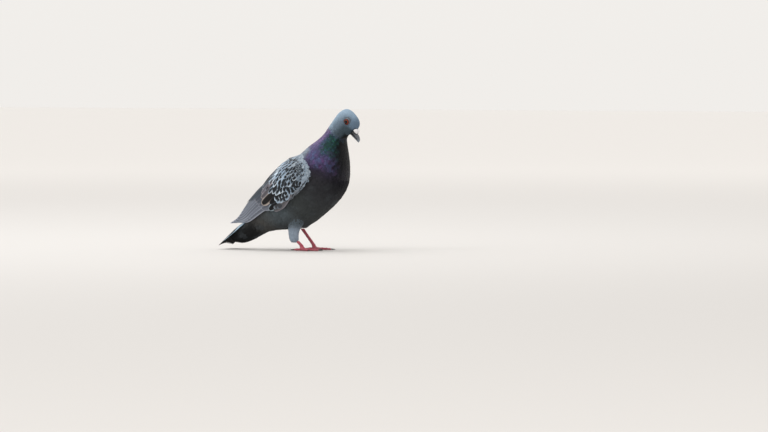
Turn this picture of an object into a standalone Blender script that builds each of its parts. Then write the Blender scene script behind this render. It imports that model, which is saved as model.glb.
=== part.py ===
"""A feral rock pigeon standing alert on level ground, head turned and bill lowered.

The bird faces +X, its right side is at -Y and the ground is z = 0.  The trunk, neck and head
are one smooth form, parted by thin cuts.  Each wing lies over the flank as three plates of
feathers, the tail is a shallow roof of feathers, and the feet stand on small flats.
"""
import math

import bmesh
import bpy
from mathutils import Vector

# ---------------------------------------------------------------- driving dimensions
MM = 0.001
GAP = 0.00034            # clearance between neighbouring pieces
RING = 28                # corners round a body section
HEAD_PITCH = math.radians(47)     # how far the bill points below level
HEAD_TURN = math.radians(17)      # how far the head turns to the bird's right
TURN_AXIS_X = 62.0                # the neck turns about an upright line here
HEAD_CENTRE = (87.4, 188.2)       # midway between the eyes: along, up
TRUNK_FULLNESS = 2.15             # exponent of the body's oval sections
SHARP_EDGE = math.radians(40)     # steeper edges than this are shaded sharp
BODY_AHEAD = 10.33                # sets the origin on the ground under the middle of the model

# Body sections from the tail root to the top of the neck, in millimetres in the upright
# middle plane: the point on the back, the point on the belly, and the half width.
TRUNK = (
    ("covert_tips", (-109.5, 25.0), (-108.5, 11.0), 11.5),
    ("tail_coverts", (-97.0, 33.8), (-92.5, 8.6), 13.5),
    ("tail_root", (-84.5, 45.0), (-73.0, 15.4), 14.8),
    ("rump", (-72.0, 60.0), (-52.0, 26.0), 20.0),
    ("hips", (-58.0, 79.0), (-26.0, 29.5), 28.5),
    ("belly", (-43.0, 101.0), (8.0, 33.0), 37.0),
    ("waist", (-24.5, 119.5), (38.0, 52.5), 41.5),
    ("chest", (-6.0, 134.0), (62.5, 75.0), 42.5),
    ("shoulder", (7.5, 144.0), (74.5, 96.0), 41.0),
    ("neck_base", (18.6, 153.6), (77.0, 119.0), 35.0),
    ("lower_neck", (31.2, 162.3), (76.0, 136.0), 27.5),
    ("mid_neck", (42.0, 172.0), (74.0, 150.0), 21.0),
    ("upper_neck", (50.5, 183.0), (72.5, 161.5), 17.0),
)
# Head sections, measured from the head's centre with the bill level: the point on the crown,
# the point on the throat and the half width.  They open like a fan about the throat.
HEAD = (
    ("nape", (-24.0, -9.0), (8.6, -20.6), 14.6),
    ("hindhead", (-23.2, -0.1), (8.4, -19.4), 14.0),
    ("occiput", (-20.2, 7.5), (8.6, -18.6), 13.3),
    ("crown", (-13.4, 11.2), (9.0, -17.7), 12.6),
    ("brow", (-4.6, 12.6), (9.8, -16.6), 11.7),
    ("forehead", (3.6, 12.9), (10.8, -15.3), 10.7),
    ("lores", (9.7, 10.7), (11.8, -13.6), 9.0),
    ("bill_feathers", (12.3, 6.8), (12.6, -11.5), 7.2),
    ("bill_base", (13.8, 3.2), (13.2, -9.4), 5.2),
)
# Where the cuts fall, as places along the run of sections above
CUTS = {"rump": (0.0, 3.5), "belly": (3.5, 5.5), "breast": (5.5, 8.5), "neck": (8.5, 12.9),
        "head": (12.9, 21.0)}
SECTIONS_PER_STEP = 2

# Wing sections from the bend of the wing to its tip: the back line, a point below, half width,
# the angles from the back at which the wing starts and ends, and its thickness.
WING = (
    ("bend", (11.2, 147.6), (70.3, 93.3), 43.9, 34, 76, 1.2),
    ("shoulder", (3.0, 143.5), (64.0, 80.5), 46.2, 28, 94, 3.0),
    ("chest", (-9.0, 138.0), (56.0, 67.5), 48.0, 20, 101, 4.2),
    ("waist", (-28.0, 125.0), (38.0, 52.5), 47.0, 14, 103, 4.6),
    ("belly", (-47.5, 106.5), (8.0, 33.0), 42.5, 9, 103, 4.4),
    ("hips", (-66.0, 88.0), (-26.0, 29.5), 34.5, 6, 101, 3.8),
    ("rump", (-84.0, 70.0), (-49.0, 24.0), 25.5, 5, 95, 2.8),
    ("tail_root", (-99.5, 55.5), (-67.0, 19.0), 17.0, 6, 86, 1.8),
    ("tip", (-117.5, 40.5), (-102.5, 23.0), 5.5, 10, 50, 0.8),
)

# Tail: a shallow roof of feathers that slopes from under the wing tips to just above the ground
TAIL_ROOT = (-79.0, 45.4)
TAIL_SLOPE = math.radians(35)
TAIL_LENGTH = 54.45
TAIL_HALF_ROOT = 12.0
TAIL_HALF_END = 27.0
TAIL_ROOF = 8.5         # how far the outer feathers lie below the middle ones
TAIL_ROUND = 1.0         # how much shorter the outer feathers are
TAIL_ARCH = 12.8         # four times how far the middle ones bow upward half way
TAIL_DROOP = 6.0         # how far their tips bend down
TAIL_THICK = (3.0, 1.2)
TAIL_FLARE = 1.2         # exponent of its widening
TAIL_GRID = (8, 12)

# Legs
LEG_SIDE = 19.0
SHANK_RADIUS = 2.35
TOE_RADII = (2.3, 1.5)
TOES = (("inner", 40, 20.0), ("middle", 2, 27.0), ("outer", -38, 21.0), ("hind", 176, 13.0))
CLAW_LENGTH = 6.5

COLOURS = {
    "slate": ((0.16, 0.20, 0.24), 0.8), "neck_sheen": ((0.07, 0.09, 0.11), 0.45),
    "breast_plum": ((0.05, 0.045, 0.06), 0.75), "belly_grey": ((0.08, 0.09, 0.10), 0.85),
    "wing_chequer": ((0.14, 0.16, 0.19), 0.75), "quill_brown": ((0.17, 0.15, 0.15), 0.7),
    "tail_black": ((0.02, 0.022, 0.026), 0.7), "horn": ((0.06, 0.065, 0.08), 0.4),
    "cere_white": ((0.75, 0.74, 0.80), 0.7), "leg_red": ((0.36, 0.06, 0.09), 0.55),
    "iris_orange": ((0.50, 0.09, 0.02), 0.15), "claw_grey": ((0.05, 0.045, 0.045), 0.4),
}


# ---------------------------------------------------------------- scene and helpers
for old in list(bpy.data.objects):
    bpy.data.objects.remove(old, do_unlink=True)
pigeon = bpy.data.collections.new("pigeon")
bpy.context.scene.collection.children.link(pigeon)
cutters = bpy.data.collections.new("cutters")
bpy.context.scene.collection.children.link(cutters)


def material(name):
    """One Principled material for each kind of surface."""
    made = bpy.data.materials.get(name)
    if made is None:
        made = bpy.data.materials.new(name)
        made.use_nodes = True
        shader = made.node_tree.nodes["Principled BSDF"]
        colour, roughness = COLOURS[name]
        shader.inputs["Base Color"].default_value = (*colour, 1.0)
        shader.inputs["Roughness"].default_value = roughness
        shader.inputs["Metallic"].default_value = 0.0
    return made


def placed(corner):
    """A corner in metres, counted from the model's origin."""
    return MM * (Vector(corner) + Vector((BODY_AHEAD, 0.0, 0.0)))


def keep(name, mesh, look, collection):
    """Link a mesh as an object with its material, or as a hidden cutter."""
    mesh.materials.append(material(look))
    made = bpy.data.objects.new(name, mesh)
    collection.objects.link(made)
    if collection is cutters:
        made.hide_render = True
        made.display_type = "WIRE"
    return made


def solid(name, corners, faces, look, collection=pigeon):
    """A closed, smooth-shaded object from corners in millimetres."""
    mesh = bpy.data.meshes.new(name)
    mesh.from_pydata([placed(corner) for corner in corners], [], faces)
    form = bmesh.new()
    form.from_mesh(mesh)
    bmesh.ops.recalc_face_normals(form, faces=form.faces)
    form.to_mesh(mesh)
    form.free()
    mesh.shade_smooth()
    mesh.set_sharp_from_angle(angle=SHARP_EDGE)
    return keep(name, mesh, look, collection)


def tube(name, rings, look, collection=pigeon):
    """A solid skinned over a row of closed rings, capped at both ends."""
    count = len(rings[0])
    corners = [corner for ring in rings for corner in ring]
    faces = []
    for row in range(len(rings) - 1):
        for col in range(count):
            nxt = (col + 1) % count
            faces.append((row * count + col, row * count + nxt,
                          (row + 1) * count + nxt, (row + 1) * count + col))
    faces.append(tuple(reversed(range(count))))
    faces.append(tuple(range((len(rings) - 1) * count, len(rings) * count)))
    return solid(name, corners, faces, look, collection)


def plate(name, outer, inner, rows, cols, look):
    """A thin closed solid between two grids of corners, joined round their rim."""
    count = cols + 1
    under = len(outer)
    faces = []
    for row in range(rows):
        for col in range(cols):
            a = row * count + col
            faces.append((a, a + 1, a + count + 1, a + count))
            faces.append((under + a, under + a + count, under + a + count + 1, under + a + 1))
    rim = list(range(cols))
    rim += [row * count + cols for row in range(rows)]
    rim += [rows * count + cols - col for col in range(cols)]
    rim += [(rows - row) * count for row in range(rows)]
    for spot, a in enumerate(rim):
        b = rim[(spot + 1) % len(rim)]
        faces.append((a, under + a, under + b, b))
    return solid(name, outer + inner, faces, look)


def smooth(values, place):
    """Catmull-Rom reading of a row of vectors at a fractional place."""
    last = len(values) - 1
    index = min(int(place), last - 1)
    share = place - index
    before = values[max(index - 1, 0)]
    start = values[index]
    end = values[index + 1]
    after = values[min(index + 2, last)]
    return 0.5 * (2 * start + (end - before) * share
                  + (2 * before - 5 * start + 4 * end - after) * share ** 2
                  + (3 * start - before - 3 * end + after) * share ** 3)


def oval(angle, fullness):
    """Back-to-belly and sideways shares of a superellipse at an angle from the back."""
    up = math.cos(angle)
    out = math.sin(angle)
    power = 2.0 / fullness
    return math.copysign(abs(up) ** power, up), math.copysign(abs(out) ** power, out)


def cut_with(piece, cutter, operation="DIFFERENCE"):
    """Apply an exact Boolean and keep the cutter out of the model."""
    change = piece.modifiers.new(operation.title(), "BOOLEAN")
    change.operation = operation
    change.solver = "EXACT"
    change.object = cutter


# ---------------------------------------------------------------- trunk, neck and head
def level_to_world(along, up):
    """A point of the head with its bill level, put at the head's pitch and place."""
    x = along * math.cos(HEAD_PITCH) + up * math.sin(HEAD_PITCH) + HEAD_CENTRE[0]
    z = -along * math.sin(HEAD_PITCH) + up * math.cos(HEAD_PITCH) + HEAD_CENTRE[1]
    return x, z


def turned(x, y, z, share=1.0):
    """Swing a point about the neck's upright axis by a share of the head's turn."""
    angle = -HEAD_TURN * share
    dx = x - TURN_AXIS_X
    return Vector((TURN_AXIS_X + dx * math.cos(angle) - y * math.sin(angle),
                   dx * math.sin(angle) + y * math.cos(angle), z))


def head_point(along, side, up):
    """A point given from the head's centre, side being positive to the bird's left."""
    x, z = level_to_world(along, up)
    return turned(x, side, z)


def body_rows():
    """Each section as a vector: back x, z, belly x, z, half width, share of the turn."""
    neck_start = [name for name, *_ in TRUNK].index("neck_base")
    neck_steps = len(TRUNK) - neck_start
    rows = []
    for index, (_, back, belly, half) in enumerate(TRUNK):
        share = max(0.0, (index - neck_start) / neck_steps) ** 1.3
        rows.append(Vector((*back, *belly, half, share)))
    for _, crown, throat, half in HEAD:
        rows.append(Vector((*level_to_world(*crown), *level_to_world(*throat), half, 1.0)))
    return rows


BODY_ROWS = body_rows()


def body_ring(place, shift=0.0, grow=0.0):
    """The body's section at a place, moved along the body by shift and grown outwards."""
    back_x, back_z, belly_x, belly_z, half, share = smooth(BODY_ROWS, place)
    back = Vector((back_x, 0.0, back_z))
    belly = Vector((belly_x, 0.0, belly_z))
    upward = (back - belly).normalized()
    forward = Vector((upward.z, 0.0, -upward.x))
    centre = (back + belly) / 2 + forward * shift
    depth = (back - belly).length / 2 + grow
    ring = []
    for corner in range(RING):
        up, out = oval(2 * math.pi * (corner + 0.5) / RING, TRUNK_FULLNESS)
        point = centre + upward * (depth * up) + Vector((0.0, (half + grow) * out, 0.0))
        ring.append(turned(point.x, point.y, point.z, share))
    return ring


def body_length(name, span, look, shrink=0.0, grow=0.0, collection=pigeon):
    """One length of the body between two places, drawn in at both ends and grown outwards."""
    start, end = span
    steps = max(2, round((end - start) * SECTIONS_PER_STEP))
    rings = []
    for step in range(steps + 1):
        shift = {0: shrink, steps: -shrink}.get(step, 0.0)
        rings.append(body_ring(start + (end - start) * step / steps, shift, grow))
    return tube(name, rings, look, collection)


for part, look in (("rump", "belly_grey"), ("belly", "belly_grey"), ("breast", "breast_plum"),
                   ("neck", "neck_sheen"), ("head", "slate")):
    body_length(part, CUTS[part], look, shrink=GAP / MM / 2)


# ---------------------------------------------------------------- eyes
EYE_RADIUS = 5.5
EYE_SIDE = 7.5           # from the middle plane to the eyeball's centre
EYE_PLACE = (-0.2, 2.0)  # along and up from the head's centre


def ball(name, centre, radius, look, collection=pigeon, segments=16, rings=10):
    """A sphere with its poles along the eye's axis."""
    form = bmesh.new()
    bmesh.ops.create_uvsphere(form, u_segments=segments, v_segments=rings, radius=radius * MM)
    bmesh.ops.translate(form, vec=placed(centre), verts=form.verts)
    mesh = bpy.data.meshes.new(name)
    form.to_mesh(mesh)
    form.free()
    mesh.shade_smooth()
    return keep(name, mesh, look, collection)


for side_name, side in (("right", -1), ("left", 1)):
    centre = head_point(EYE_PLACE[0], side * EYE_SIDE, EYE_PLACE[1])
    ball("eye_" + side_name, centre, EYE_RADIUS, "iris_orange")
    socket = ball("socket_" + side_name, centre, EYE_RADIUS + GAP / MM, "slate", cutters)
    cut_with(bpy.data.objects["head"], socket)


# ---------------------------------------------------------------- bill and cere
BILL_ROOT = 14.35
BILL_TIP = 31.8
CERE_END = 20.6
BILL_CORNERS = 14
BILL_FULLNESS = 2.4      # exponent of the bill's oval sections
# along, upper edge, lower edge, half width
UPPER_BILL = ((BILL_ROOT, -2.9, -7.4, 4.2), (18.0, -3.0, -7.0, 3.7), (CERE_END, -2.6, -6.8, 3.3),
              (22.6, -1.9, -6.8, 3.0), (26.0, -2.3, -6.9, 2.4), (29.2, -3.6, -7.4, 1.9),
              (30.8, -5.1, -8.2, 1.4), (BILL_TIP, -7.2, -9.1, 0.5))
LOWER_BILL = ((BILL_ROOT, -7.8, -11.0, 4.0), (18.0, -7.4, -10.4, 3.4), (22.0, -7.2, -9.9, 2.7),
              (26.0, -7.3, -9.4, 2.0), (29.0, -7.8, -9.1, 1.4), (30.4, -8.4, -9.1, 0.8))
CERE = ((BILL_ROOT, -2.55, 1.2, 4.4), (15.6, -2.6, 2.6, 5.0), (17.4, -2.65, 3.0, 5.0),
        (19.2, -2.5, 1.7, 4.1), (CERE_END, -2.25, -0.4, 2.6))


def bill_piece(name, stations, look):
    """A horny piece lofted along the bill through its oval sections."""
    rings = []
    for along, edge_a, edge_b, half in stations:
        middle = (edge_a + edge_b) / 2
        depth = abs(edge_a - edge_b) / 2
        ring = []
        for corner in range(BILL_CORNERS):
            up, out = oval(2 * math.pi * (corner + 0.5) / BILL_CORNERS, BILL_FULLNESS)
            ring.append(head_point(along, half * out, middle + depth * up))
        rings.append(ring)
    tube(name, rings, look)


bill_piece("bill_upper", UPPER_BILL, "horn")
bill_piece("bill_lower", LOWER_BILL, "horn")
bill_piece("cere", CERE, "cere_white")


# ---------------------------------------------------------------- wings
WING_ROWS = [Vector((*back, *below, half, first, last, thick))
             for _, back, below, half, first, last, thick in WING]
COVERT_END = 4.35        # the shield of small feathers ends here, counted in wing sections
FLIGHT_START = 4.40
SECONDARY_END = 6.3
WING_END = 8.0
WING_FULLNESS = 2.1      # exponent of the wing's oval sections
RIM_THICKNESS = 1.1      # how thick the plates are along their edges
SPLIT_START = 66         # the inner flight feathers' lower edge, in degrees from the back
SPLIT_END = 5            # the same at their tips, in degrees below the wing's upper edge
SPLIT_GAP = 1.0          # degrees between the inner and the outer flight feathers
FRONT_THINNING = 5       # the front edge thins over one part in this many of the shield
COVERT_GRID = (11, 9)
SECONDARY_GRID, SECONDARY_SINK = (6, 5), 0.4
PRIMARY_GRID, PRIMARY_SINK = (12, 6), 0.8


def wing_point(side, place, angle, depth):
    """A point on the wing at an angle from the back, depth millimetres under its surface."""
    back_x, back_z, below_x, below_z, half, _, _, _ = smooth(WING_ROWS, place)
    back = Vector((back_x, 0.0, back_z))
    below = Vector((below_x, 0.0, below_z))
    upward = (back - below).normalized()
    tall = (back - below).length / 2
    up, out = oval(math.radians(angle), WING_FULLNESS)
    return ((back + below) / 2 + upward * ((tall - depth) * up)
            + Vector((0.0, side * (half - depth) * out, 0.0)))


def wing_plate(name, side, span, first_angle, last_angle, grid, sink, thin, look):
    """A curved plate of feathers between two places and two angles of the wing."""
    rows, cols = grid
    outer = []
    inner = []
    for row in range(rows + 1):
        place = span[0] + (span[1] - span[0]) * row / rows
        thickness = smooth(WING_ROWS, place)[7]
        start = first_angle(place)
        end = last_angle(place)
        for col in range(cols + 1):
            share = col / cols
            edge = max(abs(2 * share - 1) ** 3, thin(row / rows))
            deep = thickness * (1 - edge) + min(thickness, RIM_THICKNESS) * edge
            angle = start + (end - start) * share
            outer.append(wing_point(side, place, angle, sink))
            inner.append(wing_point(side, place, angle, sink + deep))
    return plate(name, outer, inner, rows, cols, look)


def wing_top(place):
    return smooth(WING_ROWS, place)[5]


def wing_bottom(place):
    return smooth(WING_ROWS, place)[6]


def flight_split(place):
    """Between the inner flight feathers on the back and the long outer ones below."""
    share = min(1.0, (place - FLIGHT_START) / (SECONDARY_END - FLIGHT_START))
    return wing_top(place) + (SPLIT_START - wing_top(place)) * (1 - share) + SPLIT_END * share


def primary_top(place):
    if place >= SECONDARY_END:
        return wing_top(place)
    return flight_split(place) + SPLIT_GAP


def front_thin(share):
    return max(0.0, 1 - FRONT_THINNING * share) ** 2


def evenly_thick(share):
    return 0.0


for side_name, side in (("right", -1), ("left", 1)):
    prefix = "wing_" + side_name + "_"
    wing_plate(prefix + "coverts", side, (0.0, COVERT_END), wing_top, wing_bottom, COVERT_GRID,
               0.0, front_thin, "wing_chequer")
    wing_plate(prefix + "secondaries", side, (FLIGHT_START, SECONDARY_END), wing_top,
               flight_split, SECONDARY_GRID, SECONDARY_SINK, evenly_thick, "wing_chequer")
    wing_plate(prefix + "primaries", side, (FLIGHT_START, WING_END), primary_top, wing_bottom,
               PRIMARY_GRID, PRIMARY_SINK, evenly_thick, "quill_brown")


# ---------------------------------------------------------------- tail
def trunk_cutter():
    """The whole trunk grown by the gap: it trims the tail and hollows the thighs."""
    made = bpy.data.objects.get("trunk_grown")
    if made is None:
        made = body_length("trunk_grown", (CUTS["rump"][0], CUTS["neck"][0]), "slate",
                           grow=GAP / MM, collection=cutters)
    return made


def tail():
    """Twelve overlapping feathers as one shallow roof with a softly rounded end."""
    rows, cols = TAIL_GRID
    outer = []
    inner = []
    for row in range(rows + 1):
        share = row / rows
        half = TAIL_HALF_ROOT + (TAIL_HALF_END - TAIL_HALF_ROOT) * share ** TAIL_FLARE
        thick = TAIL_THICK[0] + (TAIL_THICK[1] - TAIL_THICK[0]) * share
        for col in range(cols + 1):
            across = 2 * col / cols - 1
            rounding = TAIL_ROUND * across ** 4 * share
            run = TAIL_LENGTH * share - rounding
            x = TAIL_ROOT[0] - run * math.cos(TAIL_SLOPE)
            bow = TAIL_ARCH * share * (1 - share) - TAIL_DROOP * share ** 3
            z = (TAIL_ROOT[1] - run * math.sin(TAIL_SLOPE) - TAIL_ROOF * across ** 2 * share
                 + bow * (1 - across ** 2))
            outer.append(Vector((x, half * across, z)))
            inner.append(Vector((x, half * across, z - thick)))
    made = plate("tail", outer, inner, rows, cols, "tail_black")
    cut_with(made, trunk_cutter())
    return made


tail()


# ---------------------------------------------------------------- legs
def round_ring(centre, direction, wide, deep, corners):
    """A closed oval ring square to a direction, wide sideways and deep fore and aft."""
    ahead = direction.normalized()
    sideways = Vector((0.0, 1.0, 0.0))
    upright = ahead.cross(sideways).normalized()
    sideways = upright.cross(ahead).normalized()
    ring = []
    for corner in range(corners):
        angle = 2 * math.pi * corner / corners
        ring.append(centre + sideways * (wide * math.cos(angle)) + upright * (deep * math.sin(angle)))
    return ring


# Each leg: the feathered sleeve's run (along, up, radius), then the bare shank from heel to foot
LEGS = {
    "right": {"side": -1,
              "sleeve": ((8.0, 54.0, 12.0), (3.5, 43.0, 11.5), (0.0, 34.0, 9.6), (-0.9, 24.0, 7.8),
                         (0.0, 17.5, 7.0), (0.4, 14.6, 5.4)),
              "shank": ((4.6, 14.2), (11.8, 7.4))},
    "left": {"side": 1,
             "sleeve": ((8.0, 56.0, 11.0), (3.0, 46.0, 10.5), (-1.5, 39.5, 8.6),
                        (-4.6, 35.0, 6.6), (-6.2, 31.8, 5.0)),
             "shank": ((-5.6, 30.9), (13.0, 7.4))},
}
SLEEVE_CORNERS = 16
SLEEVE_WIDTH = 0.9               # sideways radius over the fore and aft one
SLOPE_REACH = 0.1                # how far apart its slope is read, in steps of its run
SHANK_CORNERS = 10
SHANK_SWELL = (1.12, 1.0, 0.96, 1.0, 1.12)
SHANK_WIDTH = 0.92
SHANK_END_DEPTH = 1.25           # a level cut through the slanted shank is longer fore and aft
STUB_WIDE, STUB_DEEP = 1.03, 1.4
HUB_RADIUS = 4.0                 # the ball of the foot
HUB_AHEAD, HUB_HEIGHT = 1.5, 2.4
HUB_STUB = (2.6, 3.0)
HUB_SLOPE = 0.3
TOE_CORNERS = 10
TOE_STEPS = (0.0, 0.25, 0.5, 0.75, 0.93, 1.0)
TOE_END = 0.8                    # its last ring is drawn in by this much
TOE_PRESS = 0.8                  # height of its middle over its radius, flattening the sole
CLAW_STEPS, CLAW_CORNERS = 4, 8
CLAW_ROOT, CLAW_TAPER = 0.72, 0.85
CLAW_BEND = 1.25                 # radians that its middle line turns through
CLAW_TIP_HEIGHT = 0.55
CLAW_RAISE = 0.15
CLAW_SLOPE = 0.6
CLAW_WIDTH = 0.8
SLAB = ((-40.0, 80.0), (-60.0, 60.0), (-10.0, 0.0))


def thigh(name, leg):
    """The feathered thigh and sleeve, hollowed where it lies against the belly."""
    y = leg["side"] * LEG_SIDE
    rows = [Vector(row) for row in leg["sleeve"]]
    rings = []
    steps = 2 * (len(rows) - 1)
    for step in range(steps + 1):
        place = step * (len(rows) - 1) / steps
        along, up, radius = smooth(rows, place)
        ahead = (smooth(rows, min(place + SLOPE_REACH, len(rows) - 1))
                 - smooth(rows, max(place - SLOPE_REACH, 0)))
        direction = Vector((ahead.x, 0.0, ahead.y)) if step < steps else Vector((0, 0, -1))
        rings.append(round_ring(Vector((along, y, up)), direction, radius * SLEEVE_WIDTH,
                                radius, SLEEVE_CORNERS))
    made = tube(name, rings, "slate")
    cut_with(made, trunk_cutter())
    return made


def shank(name, leg):
    """The bare scaly shank, a little thicker at heel and foot."""
    y = leg["side"] * LEG_SIDE
    top = Vector((leg["shank"][0][0], y, leg["shank"][0][1]))
    foot = Vector((leg["shank"][1][0], y, leg["shank"][1][1]))
    last = len(SHANK_SWELL) - 1
    rings = []
    for step, size in enumerate(SHANK_SWELL):
        centre = top.lerp(foot, step / last)
        level = step in (0, last)
        direction = Vector((0, 0, -1)) if level else foot - top
        rings.append(round_ring(centre, direction, SHANK_RADIUS * size * SHANK_WIDTH,
                                SHANK_RADIUS * size * (SHANK_END_DEPTH if level else 1.0),
                                SHANK_CORNERS))
    return tube(name, rings, "leg_red")


def toe_path(centre, heading, length, share):
    """A place along a toe, and its radius: the toe thins towards the claw."""
    radius = TOE_RADII[0] + (TOE_RADII[1] - TOE_RADII[0]) * share
    reach = length * share
    return Vector((centre.x + reach * math.cos(heading), centre.y + reach * math.sin(heading),
                   radius * TOE_PRESS)), radius


def foot(name, leg):
    """Four toes joined at the ball of the foot, flat underneath, with a stub for the shank."""
    side = leg["side"]
    centre = Vector((leg["shank"][1][0] + HUB_AHEAD, side * LEG_SIDE, HUB_HEIGHT))
    made = ball(name, centre, HUB_RADIUS, "leg_red", segments=14, rings=8)
    stub_top = Vector((leg["shank"][1][0], centre.y, leg["shank"][1][1] - GAP / MM))
    stub = tube(name + "_stub",
                [round_ring(stub_top, Vector((0, 0, -1)), SHANK_RADIUS * STUB_WIDE,
                            SHANK_RADIUS * STUB_DEEP, SHANK_CORNERS),
                 round_ring(centre, Vector((HUB_SLOPE, 0, -1)), *HUB_STUB, SHANK_CORNERS)],
                "leg_red", cutters)
    cut_with(made, stub, "UNION")
    claws = []
    for toe_name, degrees, length in TOES:
        heading = math.radians(side * degrees)
        outward = Vector((math.cos(heading), math.sin(heading), 0.0))
        rings = []
        for share in TOE_STEPS:
            spot, radius = toe_path(centre, heading, length, share)
            radius *= TOE_END if share == 1.0 else 1.0
            rings.append(round_ring(spot, outward, radius, radius, TOE_CORNERS))
        toe = tube(name + "_" + toe_name, rings, "leg_red", cutters)
        cut_with(made, toe, "UNION")
        tip, radius = toe_path(centre, heading, length, 1.0)
        claws.append((toe_name, tip, outward, radius))
    cut_with(made, ground_cutter())
    for toe_name, tip, outward, radius in claws:
        claw(name.replace("foot", "claw") + "_" + toe_name, tip, outward, radius)
    return made


def ground_cutter():
    """A slab whose top is the ground, which trims the soles flat."""
    made = bpy.data.objects.get("ground_slab")
    if made is None:
        corners = [(x, y, z) for z in SLAB[2] for y in SLAB[1] for x in SLAB[0]]
        faces = [(0, 1, 3, 2), (4, 6, 7, 5), (0, 4, 5, 1), (2, 3, 7, 6), (0, 2, 6, 4), (1, 5, 7, 3)]
        made = solid("ground_slab", corners, faces, "leg_red", cutters)
    return made


def claw(name, tip, outward, radius):
    """A curved claw that bends down towards the ground from the end of its toe."""
    rings = []
    for step in range(CLAW_STEPS + 1):
        share = step / CLAW_STEPS
        size = radius * CLAW_ROOT * (1 - CLAW_TAPER * share)
        bend = share * CLAW_BEND
        reach = GAP / MM + CLAW_LENGTH * math.sin(bend) / math.sin(CLAW_BEND)
        drop = (tip.z - CLAW_TIP_HEIGHT) * (1 - math.cos(bend)) / (1 - math.cos(CLAW_BEND))
        centre = tip + outward * reach + Vector((0, 0, CLAW_RAISE - drop))
        slope = Vector((outward.x, outward.y, -CLAW_SLOPE * share))
        rings.append(round_ring(centre, slope, size * CLAW_WIDTH, size, CLAW_CORNERS))
    return tube(name, rings, "claw_grey")


for side_name, leg in LEGS.items():
    thigh("thigh_" + side_name, leg)
    shank("shank_" + side_name, leg)
    foot("foot_" + side_name, leg)
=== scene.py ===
"""The looks of a feral rock pigeon that stands alert, as a still, life-size model.

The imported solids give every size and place.  A skin and its coat of feathers go over the flesh,
folded wings and a tail of single feathers lie on that, and the bare parts are finished last.
"""

import math

import bmesh
import bpy
import numpy as np
from mathutils import Matrix, Vector
from mathutils.bvhtree import BVHTree
from mathutils.kdtree import KDTree


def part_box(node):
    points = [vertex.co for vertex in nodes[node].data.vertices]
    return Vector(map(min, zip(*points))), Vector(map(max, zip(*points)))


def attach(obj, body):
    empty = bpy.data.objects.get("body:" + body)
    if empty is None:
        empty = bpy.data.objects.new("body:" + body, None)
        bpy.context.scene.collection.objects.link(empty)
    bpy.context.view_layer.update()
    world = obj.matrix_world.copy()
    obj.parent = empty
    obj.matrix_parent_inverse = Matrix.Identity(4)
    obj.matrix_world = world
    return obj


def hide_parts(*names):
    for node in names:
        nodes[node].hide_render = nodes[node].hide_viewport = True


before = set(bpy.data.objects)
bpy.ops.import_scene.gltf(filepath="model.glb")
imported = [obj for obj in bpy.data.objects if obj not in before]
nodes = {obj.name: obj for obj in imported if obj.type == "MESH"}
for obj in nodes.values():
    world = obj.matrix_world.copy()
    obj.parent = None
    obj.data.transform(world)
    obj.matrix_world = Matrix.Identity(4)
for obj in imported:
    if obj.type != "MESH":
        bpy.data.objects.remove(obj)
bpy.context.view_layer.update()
scene = bpy.context.scene
MM = 0.001

# ------------------------------------------------------------------------------ studio
# A pale sweep of floor under soft boxes, with a long lens set level with the bird's breast and a
# little ahead of its right side.
CAMERA_AZIMUTH = math.radians(25)
CAMERA_ELEVATION = math.radians(2)
CAMERA_DISTANCE = 7.0
FRAME_WIDTH = 1.129              # how much the view takes in at the bird, side to side
SENSOR_WIDTH = 36.0
VIEW_CENTRE = (0.1235, 0.050)    # to the right of the bird's standing point, and above it
STANDING_POINT = Vector((0.01033, 0.0, 0.0))

camera_right = Vector((math.cos(CAMERA_AZIMUTH), math.sin(CAMERA_AZIMUTH), 0.0))
camera_back = Vector((math.sin(CAMERA_AZIMUTH) * math.cos(CAMERA_ELEVATION),
                      -math.cos(CAMERA_AZIMUTH) * math.cos(CAMERA_ELEVATION),
                      math.sin(CAMERA_ELEVATION)))
camera_up = camera_back.cross(camera_right)
target = STANDING_POINT + camera_right * VIEW_CENTRE[0] + camera_up * VIEW_CENTRE[1]


def put(name, data):
    """A new object in the scene."""
    made = bpy.data.objects.new(name, data)
    scene.collection.objects.link(made)
    return made


camera_data = bpy.data.cameras.new("long_lens")
camera_data.sensor_width = SENSOR_WIDTH
camera_data.lens = SENSOR_WIDTH * CAMERA_DISTANCE / FRAME_WIDTH
camera = put("long_lens", camera_data)
camera.matrix_world = Matrix((camera_right, camera_up, camera_back)).transposed().to_4x4()
camera.location = target + camera_back * CAMERA_DISTANCE
scene.camera = camera


def linear(code):
    """An sRGB hex colour as linear red, green, blue and alpha."""
    shares = [int(code[place:place + 2], 16) / 255 for place in (1, 3, 5)]
    return tuple(c / 12.92 if c <= 0.04045 else ((c + 0.055) / 1.055) ** 2.4 for c in shares) + (1.0,)


def add(tree, kind, inputs=(), **settings):
    """Adds a node with its settings; an input takes a value, an output or a node's first output."""
    made = tree.nodes.new("ShaderNode" + kind)
    for name, value in settings.items():
        setattr(made, name, value)
    for name, value in dict(inputs).items():
        if isinstance(value, bpy.types.Node):
            value = value.outputs[0]
        if isinstance(value, bpy.types.NodeSocket):
            tree.links.new(value, made.inputs[name])
        else:
            made.inputs[name].default_value = value
    return made


def new_material(name):
    """A material with an empty tree of nodes, and the tree."""
    made = bpy.data.materials.new(name)
    made.use_nodes = True
    made.node_tree.nodes.clear()
    return made, made.node_tree


def surface(tree, finish):
    """Ends a material's tree with a shader of the given values, outputs and nodes."""
    add(tree, "OutputMaterial", {"Surface": add(tree, "BsdfPrincipled", finish)})


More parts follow.
